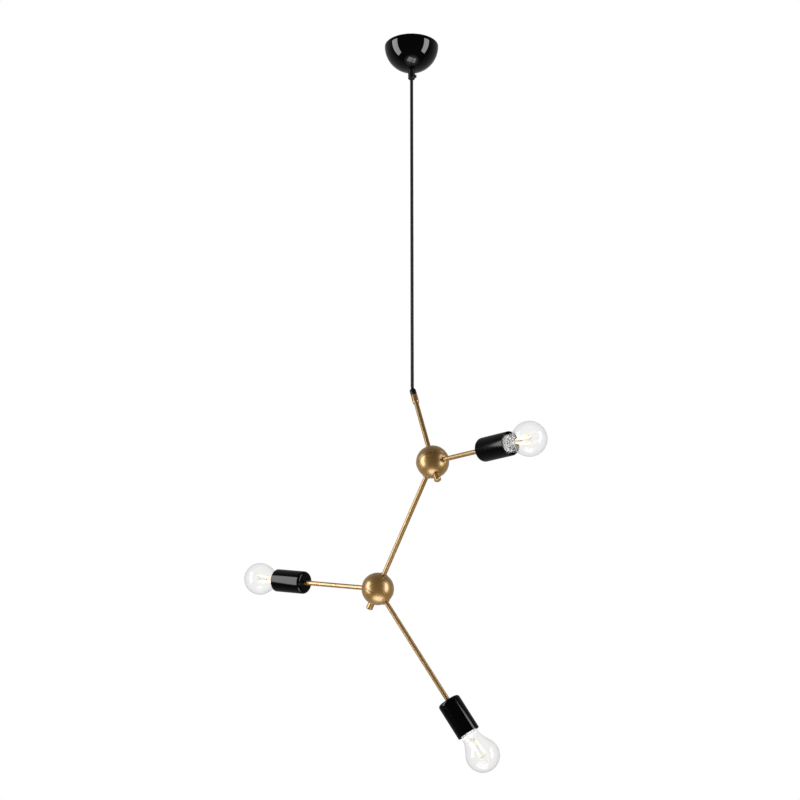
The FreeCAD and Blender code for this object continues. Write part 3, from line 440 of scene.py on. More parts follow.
def house_wires():
    """Three insulated conductors, told apart by their place across the terminal block."""
    f = Finish("wire_insulation", (0.2, 0.2, 0.2), Roughness=0.4)
    split = f.nodes.new("ShaderNodeSeparateXYZ")
    f.links.new(f.place, split.inputs["Vector"])
    half_block = 6.0 * MM
    spot = f.between(split.outputs["X"], 0.0, 1.0, -half_block, half_block)
    brown, green, blue = (0.12, 0.045, 0.02), (0.13, 0.32, 0.03), (0.02, 0.07, 0.4)
    f.drive("Base Color", f.colours(spot, [
        (0.0, brown), (0.34, brown), (0.36, green), (0.64, green), (0.66, blue)]))
    f.bump(f.noise(1500.0, 2.0), 0.000006, 0.4)
    return f.material


FINISHES = {}


def finish(name):
    """One of the finishes by name, made the first time it is asked for."""
    makers = {
        "brass": satin_brass,
        "enamel": gloss_black,
        "holder": glazed_black,
        "plastic": satin_black,
        "cord": cord_jacket,
        "glass": clear_glass,
        "phosphor": glowing_phosphor,
        "wires": house_wires,
        "zinc": lambda: plated_metal("zinc_plate", (0.62, 0.63, 0.64), 0.28, 0.45, 160.0),
        "contact": lambda: plated_metal("contact_brass", (0.72, 0.52, 0.25), 0.18, 0.32),
        "cap": lambda: plated_metal("lamp_cap_nickel", (0.78, 0.76, 0.72), 0.16, 0.3, 320.0),
        "solder": lambda: plated_metal("lamp_solder", (0.55, 0.55, 0.56), 0.35, 0.55, 600.0),
        "lead_wire": lambda: plated_metal("nickel_wire", (0.62, 0.6, 0.57), 0.2, 0.35),
        "insert": lambda: moulding("insert_plastic", (0.035, 0.035, 0.036), 0.55),
        "vitrite": lambda: moulding("black_base_glass", (0.012, 0.011, 0.012), 0.12, 300.0),
        "terminal": lambda: moulding("terminal_white", (0.8, 0.78, 0.72), 0.4),
        "sheath": lambda: moulding("lead_sheath", (0.78, 0.78, 0.75), 0.45),
    }
    if name not in FINISHES:
        FINISHES[name] = makers[name]()
    return FINISHES[name]


SLOT_FINISH = {
    "gloss_black_metal": "enamel", "black_holder": "holder", "black_plastic": "plastic",
    "cord_black": "cord", "satin_brass": "brass", "zinc_steel": "zinc", "contact_brass": "contact",
    "insert_plastic": "insert", "terminal_white": "terminal", "wire_insulation": "wires",
    "lead_sheath": "sheath", "lamp_cap_metal": "cap", "lamp_contact": "solder",
    "clear_glass": "glass", "filament": "phosphor",
}


# ---- settings ----

class StudioSettings(bpy.types.PropertyGroup):
    """Camera, backdrop and lights"""
    lens: FloatProperty(
        name="Lens", description="Focal length on a 36 mm wide sensor, in mm", default=76.5,
        min=20)
    camera_place: FloatVectorProperty(
        name="Camera", description="Where the camera stands", default=(-0.0224, -2.9707, -1.6094),
        unit="LENGTH")
    camera_pitch: FloatProperty(
        name="Pitch", description="How far the camera looks up", default=math.radians(16.7),
        unit="ROTATION")
    backdrop: FloatProperty(
        name="Backdrop", description="Brightness of the plain backdrop", default=1.0)
    seen_through: FloatProperty(
        name="Through glass",
        description="Brightness of the backdrop seen straight through glass", default=0.93)
    seen_aside: FloatProperty(
        name="Beside", description="Brightness of the room that glass bends into view",
        default=0.43)
    fill: FloatProperty(
        name="Fill", description="Brightness of the room behind the light", default=0.4)
    dark_front: FloatProperty(
        name="Dark front", description="Brightness of the room behind the camera", default=0.03)
    floor_depth: FloatProperty(
        name="Floor", description="Depth of the floor below the ceiling", default=4.2,
        unit="LENGTH")
    strip_power: FloatProperty(
        name="Strip lights", description="Power of each side light", default=78.0, unit="POWER")
    board_power: FloatProperty(
        name="Low board", description="Power of the pale board below", default=14.0, unit="POWER")


class FinishSettings(bpy.types.PropertyGroup):
    """Colours of the finishes"""
    brass: FloatVectorProperty(
        name="Brass", description="Colour of the brass lacquer", default=(0.372, 0.212, 0.059),
        subtype="COLOR")
    black: FloatVectorProperty(
        name="Black", description="Colour of canopy and holders",
        default=(0.0015, 0.0015, 0.0016), subtype="COLOR")
    cord: FloatVectorProperty(
        name="Cord", description="Colour of the cord's jacket", default=(0.005, 0.005, 0.0052),
        subtype="COLOR")
    glow_colour: FloatVectorProperty(
        name="Light", description="Colour of the light filaments", default=(1.0, 0.86, 0.55),
        subtype="COLOR")
    glow: FloatProperty(name="Glow", description="Brightness of the light filaments", default=1.3)


class CordSettings(bpy.types.PropertyGroup):
    """The hanging cord's size and route"""
    radius: FloatProperty(
        name="Radius", description="Radius of the cord", default=3.0 * MM, unit="LENGTH")
    bend_drop: FloatProperty(
        name="Bend", description="Depth of the cord's bend below the ceiling", default=697.0 * MM,
        unit="LENGTH")
    tail: FloatProperty(
        name="Tail", description="Cord past its bend, inside the sleeve", default=12.0 * MM,
        unit="LENGTH")


class HardwareSettings(bpy.types.PropertyGroup):
    """Sheet, holes and rounding of the metal pieces and holders"""
    edge: FloatProperty(
        name="Edge", description="Rounding of turned edges", default=0.5 * MM, unit="LENGTH")
    canopy_wall: FloatProperty(
        name="Canopy wall", description="Sheet of the canopy", default=1.2 * MM, unit="LENGTH")
    knob_ribs: IntProperty(
        name="Knob ribs", description="Grip ribs round the small screw knob", default=20)
    ball_wall: FloatProperty(
        name="Ball wall", description="Sheet of the half balls", default=1.5 * MM, unit="LENGTH")
    seam_roll: FloatProperty(
        name="Seam", description="Rolled edge of the half balls at their seam", default=0.7 * MM,
        unit="LENGTH")
    stud_hole: FloatProperty(
        name="Stud hole", description="Radius of the front half ball's hole", default=5.0 * MM,
        unit="LENGTH")
    entry_hole: FloatProperty(
        name="Tube hole", description="Radius of the back half ball's hole", default=4.45 * MM,
        unit="LENGTH")
    washer_bore: FloatProperty(
        name="Washer bore", description="Radius of the hole in a washer", default=4.3 * MM,
        unit="LENGTH")
    nut_across: FloatProperty(
        name="Lock nut", description="Width across flats of a tube's lock nut", default=12.0 * MM,
        unit="LENGTH")
    cup_wall: FloatProperty(
        name="Holder wall", description="Wall of a lampholder's cup", default=2.2 * MM,
        unit="LENGTH")
    cup_rounding: FloatProperty(
        name="Holder shoulder", description="Rounding of the cup's closed end", default=6.0 * MM,
        unit="LENGTH")


class LampSettings(bpy.types.PropertyGroup):
    """Glass, thread and filaments of the lamps"""
    wall: FloatProperty(
        name="Glass", description="Thickness of the blown glass", default=0.7 * MM, unit="LENGTH")
    neck: FloatProperty(
        name="Neck", description="Radius of the glass neck", default=16.2 * MM, unit="LENGTH")
    thread_pitch: FloatProperty(
        name="Pitch", description="Pitch of the lamp's screw thread", default=3.63 * MM,
        unit="LENGTH")
    thread_depth: FloatProperty(
        name="Depth", description="Depth of the lamp's screw thread", default=0.85 * MM,
        unit="LENGTH")
    cap_radius: FloatProperty(
        name="Cap", description="Radius over the lamp's thread", default=13.1 * MM, unit="LENGTH")
    filaments: IntProperty(name="Filaments", description="Number of light filaments", default=4)
    filament_radius: FloatProperty(
        name="Filament", description="Radius of a light filament", default=1.15 * MM,
        unit="LENGTH")


# ---- pieces ----

STRIPS = {"left_strip": (-2.41, -0.67, -0.65), "right_strip": (2.54, -1.16, -0.65)}
STRIP_SIZE = (1.15, 2.9)
BOARD_PLACE = (0.0, -0.15, -2.35)
BOARD_SIZE = (1.25, 0.9)
FLOOR_RADIUS = 2.4
FLOOR_FADE = (1.2, 2.35)      # the floor fades away between these distances from its middle
ROOM_SPAN = (-0.1, 0.9)       # cosines between which the room behind the light brightens
GLASS_SPAN = (0.65, 0.985)    # cosines between which glass goes from the room to the backdrop


class PENDANT_OT_stage(bpy.types.Operator):
    """Camera, floor, backdrop and studio lights"""
    bl_idname = "pendant.stage"
    bl_label = "Stage"

    def execute(self, context):
        studio = context.scene.pendant_studio
        context.scene.view_settings.view_transform = "Standard"
        camera = bpy.data.objects.new("camera", bpy.data.cameras.new("camera"))
        camera.data.lens = studio.lens
        camera.data.sensor_width = 36.0
        camera.location = studio.camera_place
        camera.rotation_euler = (math.pi / 2 + studio.camera_pitch, 0.0, 0.0)
        context.scene.collection.objects.link(camera)
        context.scene.camera = camera
        middle = (Vector(CAD_BOX[0]) + Vector(CAD_BOX[1])) / 2
        self.backdrop(context, studio)
        self.floor(context, studio)
        for name, spot in STRIPS.items():
            self.panel(context, name, Vector(spot), middle, STRIP_SIZE, studio.strip_power)
        self.panel(context, "low_board", Vector(BOARD_PLACE), middle, BOARD_SIZE,
                   studio.board_power)
        return {"FINISHED"}

    def panel(self, context, name, spot, target, size, power):
        """A flat soft light that faces a point, and isn't seen itself, not even through glass."""
        data = bpy.data.lights.new(name, "AREA")
        data.shape = "RECTANGLE"
        data.size, data.size_y = size
        data.energy = power
        light = bpy.data.objects.new(name, data)
        light.location = spot
        light.rotation_euler = (target - spot).to_track_quat("-Z", "Y").to_euler()
        light.visible_camera = False
        light.visible_transmission = False
        context.scene.collection.objects.link(light)

    def backdrop(self, context, studio):
        """A plain white world for the eye. Reflections see a dim room, darkest behind the camera,
        and glass sees the backdrop along the stage, with the dimmer room beside it. Both follow
        the cosine between a direction and one fixed line through the stage."""
        world = bpy.data.worlds.new("backdrop")
        world.use_nodes = True
        nodes, links = world.node_tree.nodes, world.node_tree.links
        background = nodes["Background"]
        path = nodes.new("ShaderNodeLightPath")
        direction = nodes.new("ShaderNodeTexCoord")
        ahead = nodes.new("ShaderNodeVectorMath")
        ahead.operation = "DOT_PRODUCT"
        links.new(direction.outputs["Generated"], ahead.inputs[0])
        pitch = studio.camera_pitch
        ahead.inputs[1].default_value = (0.0, math.cos(pitch), math.sin(pitch))
        room = self.ramp(world, ahead, ROOM_SPAN, (studio.dark_front, studio.fill))
        either_way = nodes.new("ShaderNodeMath")
        either_way.operation = "ABSOLUTE"
        links.new(ahead.outputs["Value"], either_way.inputs[0])
        glass = self.ramp(world, either_way, GLASS_SPAN, (studio.seen_aside, studio.seen_through))
        seen = nodes.new("ShaderNodeMix")
        through = nodes.new("ShaderNodeMix")
        links.new(path.outputs["Is Transmission Ray"], through.inputs["Factor"])
        links.new(room.outputs["Result"], through.inputs["A"])
        links.new(glass.outputs["Result"], through.inputs["B"])
        links.new(path.outputs["Is Camera Ray"], seen.inputs["Factor"])
        links.new(through.outputs["Result"], seen.inputs["A"])
        seen.inputs["B"].default_value = studio.backdrop
        links.new(seen.outputs["Result"], background.inputs["Strength"])
        background.inputs["Color"].default_value = (1.0, 1.0, 1.0, 1.0)
        context.scene.world = world

    def ramp(self, world, ahead, places, levels):
        """A brightness that follows how far a direction points ahead."""
        node = world.node_tree.nodes.new("ShaderNodeMapRange")
        for label, number in zip(RANGE_SOCKETS, (*places, *levels)):
            node.inputs[label].default_value = number
        world.node_tree.links.new(ahead.outputs["Value"], node.inputs["Value"])
        return node

    def floor(self, context, studio):
        """A pale disc that fades into the backdrop at its edge: point = middle + radius(row)
        turned by the angle(column)."""
        radius = np.linspace(0.0, FLOOR_RADIUS, 6)
        angle = np.linspace(0, FULL_TURN, 96, endpoint=False)
        grid = HANG.at(studio.floor_depth).place(radius[::-1, None], 0.0, angle[None, :])
        mesh = bpy.data.meshes.new("floor")
        index = np.arange(grid.shape[0] * grid.shape[1]).reshape(grid.shape[:2])
        mesh.from_pydata(grid.reshape(-1, 3).tolist(), [], grid_faces(index, False).tolist())
        floor = bpy.data.objects.new("floor", mesh)
        context.scene.collection.objects.link(floor)
        f = Finish("pale_floor", (0.8, 0.8, 0.8), Roughness=0.7, Emission_Strength=0.3)
        f.set("Emission Color", (1.0, 1.0, 1.0, 1.0))
        gradient = f.nodes.new("ShaderNodeVectorMath")
        gradient.operation = "LENGTH"
        flatten = f.nodes.new("ShaderNodeVectorMath")
        flatten.operation = "MULTIPLY"
        flatten.inputs[1].default_value = (1.0, 1.0, 0.0)
        f.links.new(f.place, flatten.inputs[0])
        f.links.new(flatten.outputs["Vector"], gradient.inputs[0])
        f.drive("Alpha", f.between(gradient.outputs["Value"], 1.0, 0.0, *FLOOR_FADE))
        mesh.materials.append(f.material)


class PENDANT_OT_cord(bpy.types.Operator):
    """The hanging cord, one smooth curve from the grip to the sleeve"""
    bl_idname = "pendant.cord"
    bl_label = "Cord"

    def execute(self, context):
        size = context.scene.pendant_cord
        exit_point = np.array(joint("pendant_swing")["pos_m"])
        bend = np.array([0.0, 0.0, -size.bend_drop])
        end = bend + MAIN.along * size.tail
        straight = size.radius * 12
        near_grip = exit_point - UP * straight
        above_bend = bend + UP * size.tail
        route = [exit_point, near_grip, above_bend, bend, end]
        curve = bpy.data.curves.new("pendant_cord", "CURVE")
        curve.dimensions = "3D"
        spline = curve.splines.new("NURBS")
        spline.points.add(len(route) - 1)
        for point, spot in zip(spline.points, route):
            point.co = (*spot, 1.0)
        spline.order_u = 3
        spline.use_endpoint_u = True
        spline.resolution_u = 24
        curve.bevel_depth = size.radius
        curve.bevel_resolution = 8
        curve.use_fill_caps = True
        curve.materials.append(finish("cord"))
        cord = bpy.data.objects.new("pendant_cord", curve)
        context.scene.collection.objects.link(cord)
        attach(cord, "pendant")
        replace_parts(cord, "hanging_cord")
        return {"FINISHED"}


class PENDANT_OT_finishes(bpy.types.Operator):
    """Finish every CAD node that stays in view"""
    bl_idname = "pendant.finishes"
    bl_label = "Finishes"

    def execute(self, context):
        slots = {row["node"]: row["material_slot"] for row in frame["record"]["subparts"]}
        for node, item in frame["nodes"].items():
            item.data.materials.clear()
            item.data.materials.append(finish(SLOT_FINISH[slots[node]]))
        return {"FINISHED"}


class PENDANT_OT_canopy(bpy.types.Operator):
    """The half-sphere canopy with its rolled rim, and the ribbed knob of the cord grip"""
    bl_idname = "pendant.canopy"
    bl_label = "Canopy"

    def execute(self, context):
        size = context.scene.pendant_hardware
        radius = HANG.reach("canopy_shell")
        hole = HANG.reach("threaded_rod") + 0.1 * MM
        inner = radius - size.canopy_wall
        low = math.degrees(math.acos(hole / radius))
        low_inner = math.degrees(math.acos(hole / inner))
        below, start = 2 * MM, 3.0
        rim = rounded([(inner, 0.0, size.edge), (radius, 0.0, size.edge), (radius, below, 0.0),
                       (inner, below, 0.0)])
        rim = rim[:-2]    # the last two corners only steer the rounding
        dome = np.concatenate([rim, arc(radius, 0.0, start, low, 60),
                               arc(inner, 0.0, low_inner, start, 60)])
        grid = turned(HANG, dome, turns=128)
        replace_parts(build("canopy_dome", [grid], finish("enamel"), "canopy"),
                    "canopy_shell")
        self.knob(size)
        return {"FINISHED"}

    def knob(self, size):
        """The knob's outline carried round its screw, with its side moved out by the rib height
        times the cosine of the rib count times the angle."""
        screw = joint("grip_screw_turn")
        axis = Axis(screw["pos_m"], screw["axis"])
        tip, end = axis.span("grip_screw")
        rib_height = 0.1 * MM
        knob = axis.reach("grip_screw") - rib_height
        shank, seat, turns = 1.5 * MM, end - 2.6 * MM, 160
        outline = rounded([(0.0, tip, 0.0), (shank, tip, 0.3 * MM), (shank, seat, 0.0),
                           (knob, seat, 0.25 * MM), (knob, end - 0.7 * MM, 0.5 * MM),
                           (knob * 0.55, end, 0.6 * MM), (0.0, end - 0.25 * MM, 0.0)])
        grid, closed = turned(axis, outline, turns)
        offset = grid - axis.origin
        height = offset @ axis.along
        out = offset - height[..., None] * axis.along
        distance = np.linalg.norm(out, axis=-1)
        angle = np.arange(turns) * FULL_TURN / turns
        side = distance > knob * 0.9
        rib = rib_height * np.cos(size.knob_ribs * angle)[None, :] * side
        grid = grid + out / np.maximum(distance, NOTHING)[..., None] * rib[..., None]
        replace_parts(build("grip_screw_knob", [(grid, closed)], finish("plastic"), "grip_screw"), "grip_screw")


class PENDANT_OT_fittings(bpy.types.Operator):
    """Sleeve and set screw at the cord's end, washers, lock nuts and clamp nuts"""
    bl_idname = "pendant.fittings"
    bl_label = "Fittings"

    def execute(self, context):
        size = context.scene.pendant_hardware
        self.sleeve()
        self.set_screw()
        for hub, axis, back, front in (("upper", MAIN, "pendant", "upper_front"),
                                       ("lower", LOWER_HUB, "upper_front", "lower_front")):
            self.clamp_nut(hub, axis, size)
            self.half_ball(hub + "_hub_back_shell", hub + "_back_half_ball", axis, back, size)
            self.half_ball(hub + "_hub_front_shell", hub + "_front_half_ball", axis, front, size)
        self.washer_group("main_washer", "main_tube_washer", MAIN, "pendant", size)
        self.washer_group("link_washers_and_nut", "link_fasteners", LINK, "upper_front", size)
        for lamp, axis in ARMS.items():
            self.washer_group(lamp + "_washer_and_nuts", lamp + "_arm_fasteners", axis,
                              HOLDER_BODY[lamp], size)
        return {"FINISHED"}

    def sleeve(self):
        """The sleeve's outline carried round the tube's axis, with a countersunk soft mouth."""
        low, high = MAIN.span("cord_sleeve")
        outer = MAIN.reach("cord_sleeve")
        bore = 3.6 * MM
        outline = rounded([(bore + 0.4 * MM, low, 0.2 * MM), (outer - 0.9 * MM, low, 0.4 * MM),
                           (outer, low + 1.2 * MM, 0.5 * MM), (outer, high, 0.25 * MM),
                           (bore, high, 0.0), (bore, low + 0.9 * MM, 0.3 * MM)])
        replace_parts(build("sleeve_body", [turned(MAIN, outline, 72)], finish("plastic"), "pendant"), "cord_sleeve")

    def set_screw(self):
        """A grub screw: a round outline carried round its axis, with a six-sided socket sunk in
        its outer face. The socket's radius is half its width over the cosine of the angle from
        the middle of the nearest flat."""
        points = node_points("collar_screw")
        centre = (points.min(axis=0) + points.max(axis=0)) / 2
        radial = centre - MAIN.origin
        radial -= (radial @ MAIN.along) * MAIN.along
        axis = Axis(centre, radial)
        low, high = axis.span("collar_screw")
        radius = axis.reach("collar_screw")
        mouth, half_width, depth, turns = radius * 0.62, 0.54 * radius, 1.1 * MM, 72
        body = rounded([(0.0, low, 0.0), (radius, low, 0.15 * MM), (radius, high, 0.2 * MM),
                        (mouth, high, 0.0)])
        socket = np.array([(mouth, high - depth), (0.0, high - depth - 0.1 * MM)])
        grid, closed = turned(axis, np.concatenate([body, socket]), turns)
        angle = np.arange(turns) * FULL_TURN / turns
        sector = math.pi / 3
        hexagon = half_width / np.cos((angle + sector / 2) % sector - sector / 2)
        recess = axis.place(hexagon[None, :], np.array([high, high - depth])[:, None],
                            angle[None, :])
        edge = grid[:, 0] - axis.at(high).origin
        level = np.abs(edge @ axis.along) < 0.0001 * MM
        inner = level & (np.linalg.norm(edge, axis=1) < mouth * 1.01)
        grid[inner] = recess[0]
        below = np.arange(len(grid)) > np.nonzero(inner)[0].max()
        grid[below & (np.ptp(grid, axis=1).max(axis=1) > NOTHING)] = recess[1]
        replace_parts(build("collar_grub_screw", [(grid, closed)], finish("brass"), "pendant",
                          sharp=30.0), "collar_screw")

    def half_ball(self, node, name, axis, body, size):
        """A half sphere of sheet turned round the axis: circle arcs outside and inside, a rolled
        edge at the seam and a round hole on the axis. A front half is the part above the seam,
        and a back half has the same outline with its heights negated."""
        low, high = axis.span(node)
        front = high > -low
        seam = 0.15 * MM
        ball = axis.reach(node)
        inner = ball - size.ball_wall
        hole = size.stud_hole if front else size.entry_hole
        roll = size.seam_roll
        start = math.degrees(math.asin((seam + roll) / ball))
        top = math.degrees(math.acos(hole / ball))
        top_inner = math.degrees(math.acos(hole / inner))
        outside = arc(ball, 0.0, start, top, 48)
        inside = arc(inner, 0.0, top_inner, start, 48)
        edge = bezier(outside[0], (ball, seam + roll * 0.4), (ball - roll * 0.4, seam),
                      (ball - roll, seam), 8)
        outline = np.concatenate([[(inner, seam)], edge[::-1], outside[1:], inside[:-1]])
        outline[:, 1] *= 1.0 if front else -1.0
        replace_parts(build(name, [turned(axis, outline, 144)], finish("brass"), body,
                          sharp=50.0), node)

    def clamp_nut(self, hub, axis, size):
        """A round nut's outline carried round the axis: a plain barrel, a slightly wider band near
        its end, a domed end and a blind hole for the stud."""
        node = hub + "_hub_clamp_nut"
        low, high = axis.span(node)
        rim = axis.reach(node)
        barrel, hole, floor = rim - 0.35 * MM, 3.1 * MM, high - 2.6 * MM
        outline = rounded([(0.0, high - 0.1 * MM, 0.0), (rim - 2.0 * MM, high, 1.2 * MM),
                           (rim, high - 2.0 * MM, 0.7 * MM), (rim, high - 3.1 * MM, 0.25 * MM),
                           (barrel, high - 3.5 * MM, 0.2 * MM), (barrel, low, size.edge),
                           (hole, low, 0.2 * MM), (hole, floor, 0.0), (0.0, floor, 0.0)])
        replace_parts(build(hub + "_thumb_nut", [turned(axis, outline, 96)], finish("brass"),
                          hub + "_clamp_nut"), node)

    def washer_group(self, name, node, axis, body, size):
        """Washers and lock nuts of one tube. Each solid of the node is found as a run of heights
        with a clear gap on both sides, and the tall ones are nuts."""
        clear, thick = 1.5 * MM, 2.0 * MM
        height = np.sort((node_points(node) - axis.origin) @ axis.along)
        gaps = np.nonzero(np.diff(height) > clear)[0]
        starts = np.concatenate([[height[0]], height[gaps + 1]])
        stops = np.concatenate([height[gaps], [height[-1]]])
        grids = [(self.nut if high - low > thick else self.washer)(axis, low, high, size)
                 for low, high in zip(starts, stops)]
        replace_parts(build(name, grids, finish("brass"), body), node)

    def washer(self, axis, low, high, size):
        """A flat ring: a rectangle with rounded corners carried round the axis."""
        outer, bore = 7.0 * MM, size.washer_bore
        return turned(axis, rounded([(bore, low, 0.15 * MM), (outer, low, 0.3 * MM),
                                     (outer, high, 0.35 * MM), (bore, high, 0.15 * MM)]), 72)

    def nut(self, axis, low, high, size):
        """A chamfered ring cut to a hexagon: its radius is never more than half the width across
        flats over the cosine of the angle from the middle of the nearest flat."""
        corner, bore = size.nut_across / math.sqrt(3), size.washer_bore
        top, chamfer = corner - 0.9 * MM, 0.5 * MM
        return turned(axis, [(bore, low), (top, low), (corner, low + chamfer),
                             (corner, high - chamfer), (top, high), (bore, high)],
                      96, across=size.nut_across)


class PENDANT_OT_holders(bpy.types.Operator):
    """The black lampholder cups and their threaded contact shells"""
    bl_idname = "pendant.holders"
    bl_label = "Lampholders"

    def execute(self, context):
        size = context.scene.pendant_hardware
        wall, hole, soft, lip = size.cup_wall, 4.35 * MM, 0.3 * MM, 0.7 * MM
        for lamp, axis in ARMS.items():
            body = HOLDER_BODY[lamp]
            low, high = axis.span(lamp + "_holder_cup")
            outer = axis.reach(lamp + "_holder_cup")
            inner = outer - wall
            outline = rounded([
                (hole, low, soft), (outer, low, size.cup_rounding), (outer, high, lip),
                (inner, high, lip), (inner, low + wall, size.cup_rounding - wall),
                (hole, low + wall, soft)], steps=14)
            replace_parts(build(lamp + "_holder_body", [turned(axis, outline, 128)],
                              finish("holder"), body), lamp + "_holder_cup")
            self.contacts(lamp, axis, body, context.scene.pendant_lamp)
        return {"FINISHED"}

    def contacts(self, lamp, axis, body, size):
        """The contact shell, a thin tube whose wall carries the lamp's thread, and the centre
        tongue, a rounded disc; both are outlines carried round the axis."""
        node = lamp + "_holder_contacts"
        low, high = axis.span(node)
        outer = axis.reach(node)
        crest = outer - 0.25 * MM - size.thread_depth * 0.6
        rows = 90
        rise = np.linspace(low + 2.5 * MM, high, rows)
        wall = np.stack([np.full(rows, crest), rise], axis=1)
        outline = np.concatenate([wall + (0.2 * MM, 0.0), wall[::-1]])
        thread = (size.thread_pitch, size.thread_depth * 0.6, low + 3 * MM, high - 1 * MM)
        broad, top = 3.3 * MM, low + 1.2 * MM
        tongue = rounded([(0.0, low, 0.0), (broad, low, 0.2 * MM), (broad, top, 0.4 * MM),
                          (0.0, top, 0.0)])
        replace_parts(build(lamp + "_contact_shell", [turned(axis, outline, 96, thread=thread),
                                                    turned(axis, tongue, 48)],
                          finish("contact"), body), node)


WIRE_RADIUS = 0.25 * MM


class PENDANT_OT_lamps(bpy.types.Operator):
    """The lamps: blown glass, glass stem, light filaments on their wires, and the screw base"""
    bl_idname = "pendant.lamps"
    bl_label = "Lamps"

    def execute(self, context):
        size = context.scene.pendant_lamp
        for lamp, axis in ARMS.items():
            body = lamp + "_lamp"
            full = axis.reach(lamp + "_lamp_glass")
            middle = axis.span(lamp + "_lamp_glass")[1] - full
            globe = full - 0.02 * MM
            mouth = axis.span(lamp + "_lamp_cap")[1]
            here = axis.at(middle)
            self.envelope(lamp, here, globe, mouth - middle, body, size)
            self.stem(lamp, here, mouth - middle, body)
            self.light(lamp, here, body, size)
            self.screw_base(lamp, axis, body, size)
        return {"FINISHED"}

    def bulb(self, globe, mouth, neck, base):
        """Outline of the glass from its top to its foot: a circle, then a cubic curve that leaves
        the circle along its tangent and arrives at the neck parallel to the axis, then a short
        cubic curve to the base."""
        leave, pull, neck_rise = -30.0, 8.5 * MM, 9.0 * MM
        top = arc(globe, 0.0, 90.0, leave, 60)
        start = top[-1]
        a = math.radians(leave)
        tangent = np.array([math.sin(a), -math.cos(a)])
        waist = np.array([neck, mouth + neck_rise])
        shoulder = bezier(start, start + tangent * pull, waist + (0.0, neck_rise), waist, 26)
        foot = np.array([base, mouth])
        tuck = bezier(waist, waist - (0.0, 4.5 * MM), foot + (0.6 * MM, 3.5 * MM), foot, 14)
        return np.concatenate([top, shoulder[1:], tuck[1:]])

    def envelope(self, lamp, axis, globe, mouth, body, size):
        """Outer and inner outline of the glass in one closed wall, carried round the axis. The
        neck attribute rises from 0 to 1 over the milky part."""
        base, foot_outer, foot_inner = 13.7 * MM, 11.6 * MM, 10.9 * MM
        tuck, foot = mouth - 2 * MM, mouth - 6 * MM
        outer = np.concatenate([self.bulb(globe, mouth, size.neck, base),
                                [(foot_outer, tuck), (foot_outer, foot)]])
        inner = np.concatenate([
            self.bulb(globe - size.wall, mouth, size.neck - size.wall, base - size.wall),
            [(foot_inner, tuck), (foot_inner, foot)]])
        outline = np.concatenate([outer, inner[::-1]])
        outline[[0, -1], 0] = 0.0
        grid, closed = turned(axis, outline, 128)
        neck = self.milky(grid, axis, -37 * MM, 1.0)
        piece = build(lamp + "_lamp_bulb", [(grid, closed)], finish("glass"), body,
                      attributes={"neck": neck}, sharp=60.0)
        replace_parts(piece, lamp + "_lamp_glass")

    def milky(self, grid, axis, start, most):
        """How milky the glass is: the depth below a height, over a fixed length, up to a most."""
        length = 12 * MM
        height = (grid - axis.origin) @ axis.along
        return np.clip((start - height) / length, 0.0, most)

    def stem(self, lamp, axis, mouth, body):
        """Hollow glass stem, one outline carried round the axis: a cubic flare at the neck narrows
        to a tube and ends in a solid pinch."""
        low, pinch = mouth - 5 * MM, -17.0 * MM
        bend, narrow, tube = low + 5 * MM, low + 8 * MM, low + 16 * MM
        flare = bezier((10.6 * MM, low), (6.0 * MM, bend), (3.4 * MM, narrow), (3.2 * MM, tube), 20)
        inner = bezier((2.4 * MM, tube), (2.6 * MM, narrow), (5.2 * MM, bend), (9.8 * MM, low), 20)
        top = np.array([(3.2, -9.0), (2.3, -4.0), (2.1, -0.8), (1.4, 0.0), (0.0, 0.2), (0.0, -10.0),
                        (2.3, -12.0)]) * MM
        outline = np.concatenate([flare, top + (0.0, pinch), inner])
        grid, closed = turned(axis, outline, 64)
        build(lamp + "_lamp_stem", [(grid, closed)], finish("glass"), body,
              attributes={"neck": self.milky(grid, axis, -32 * MM, 0.7)}, sharp=70.0)

    def light(self, lamp, axis, body, size):
        """Light filaments, round rods that lean outwards round the stem, with a thin wire to each
        end. The along attribute is the height on a rod over its length."""
        low, high = axis.span(lamp + "_lamp_filaments")
        inner, outer, inset = 4.2 * MM, 9.0 * MM, 1.2 * MM
        soft = size.filament_radius
        grids, shares, wires = [], [], []
        for i in range(size.filaments):
            turn = math.pi / 4 + i * FULL_TURN / size.filaments
            foot = axis.place(inner, low + inset, turn)
            head = axis.place(outer, high - inset, turn)
            own = Axis(foot, head - foot)
            length = np.linalg.norm(head - foot)
            outline = rounded([(0.0, 0.0, 0.0), (soft, 0.0, soft * 0.7),
                               (soft, length, soft * 0.7), (0.0, length, 0.0)])
            rows = np.linspace(0.0, 1.0, 24)
            grid, closed = turned(own, self.even_rows(outline, rows, soft, length), 16)
            grids.append((grid, closed))
            shares.append((((grid - own.origin) @ own.along) / length).reshape(-1))
            wires.append(self.lower_wire(axis, foot, low, turn))
            wires.append(self.upper_wire(axis, head, high, turn))
        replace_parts(build(lamp + "_light_filaments", grids, finish("phosphor"), body,
                          attributes={"along": np.concatenate(shares)}), lamp + "_lamp_filaments")
        post = [axis.place(0.0, h, 0.0) for h in np.linspace(-18.5 * MM, high + 0.6 * MM, 12)]
        wires.append(wire(post, 0.28 * MM))
        build(lamp + "_filament_wires", wires, finish("lead_wire"), body)

    def even_rows(self, outline, shares, radius, length):
        """The rounded rod's outline with evenly spaced rows between its two ends."""
        height = radius + shares * (length - 2 * radius)
        rows = np.stack([np.full(len(shares), radius), height], axis=1)
        low = outline[outline[:, 1] < length / 2]
        high = outline[outline[:, 1] > length / 2]
        return np.concatenate([low[np.argsort(low[:, 0])], rows[1:-1],
                               high[np.argsort(-high[:, 0])]])

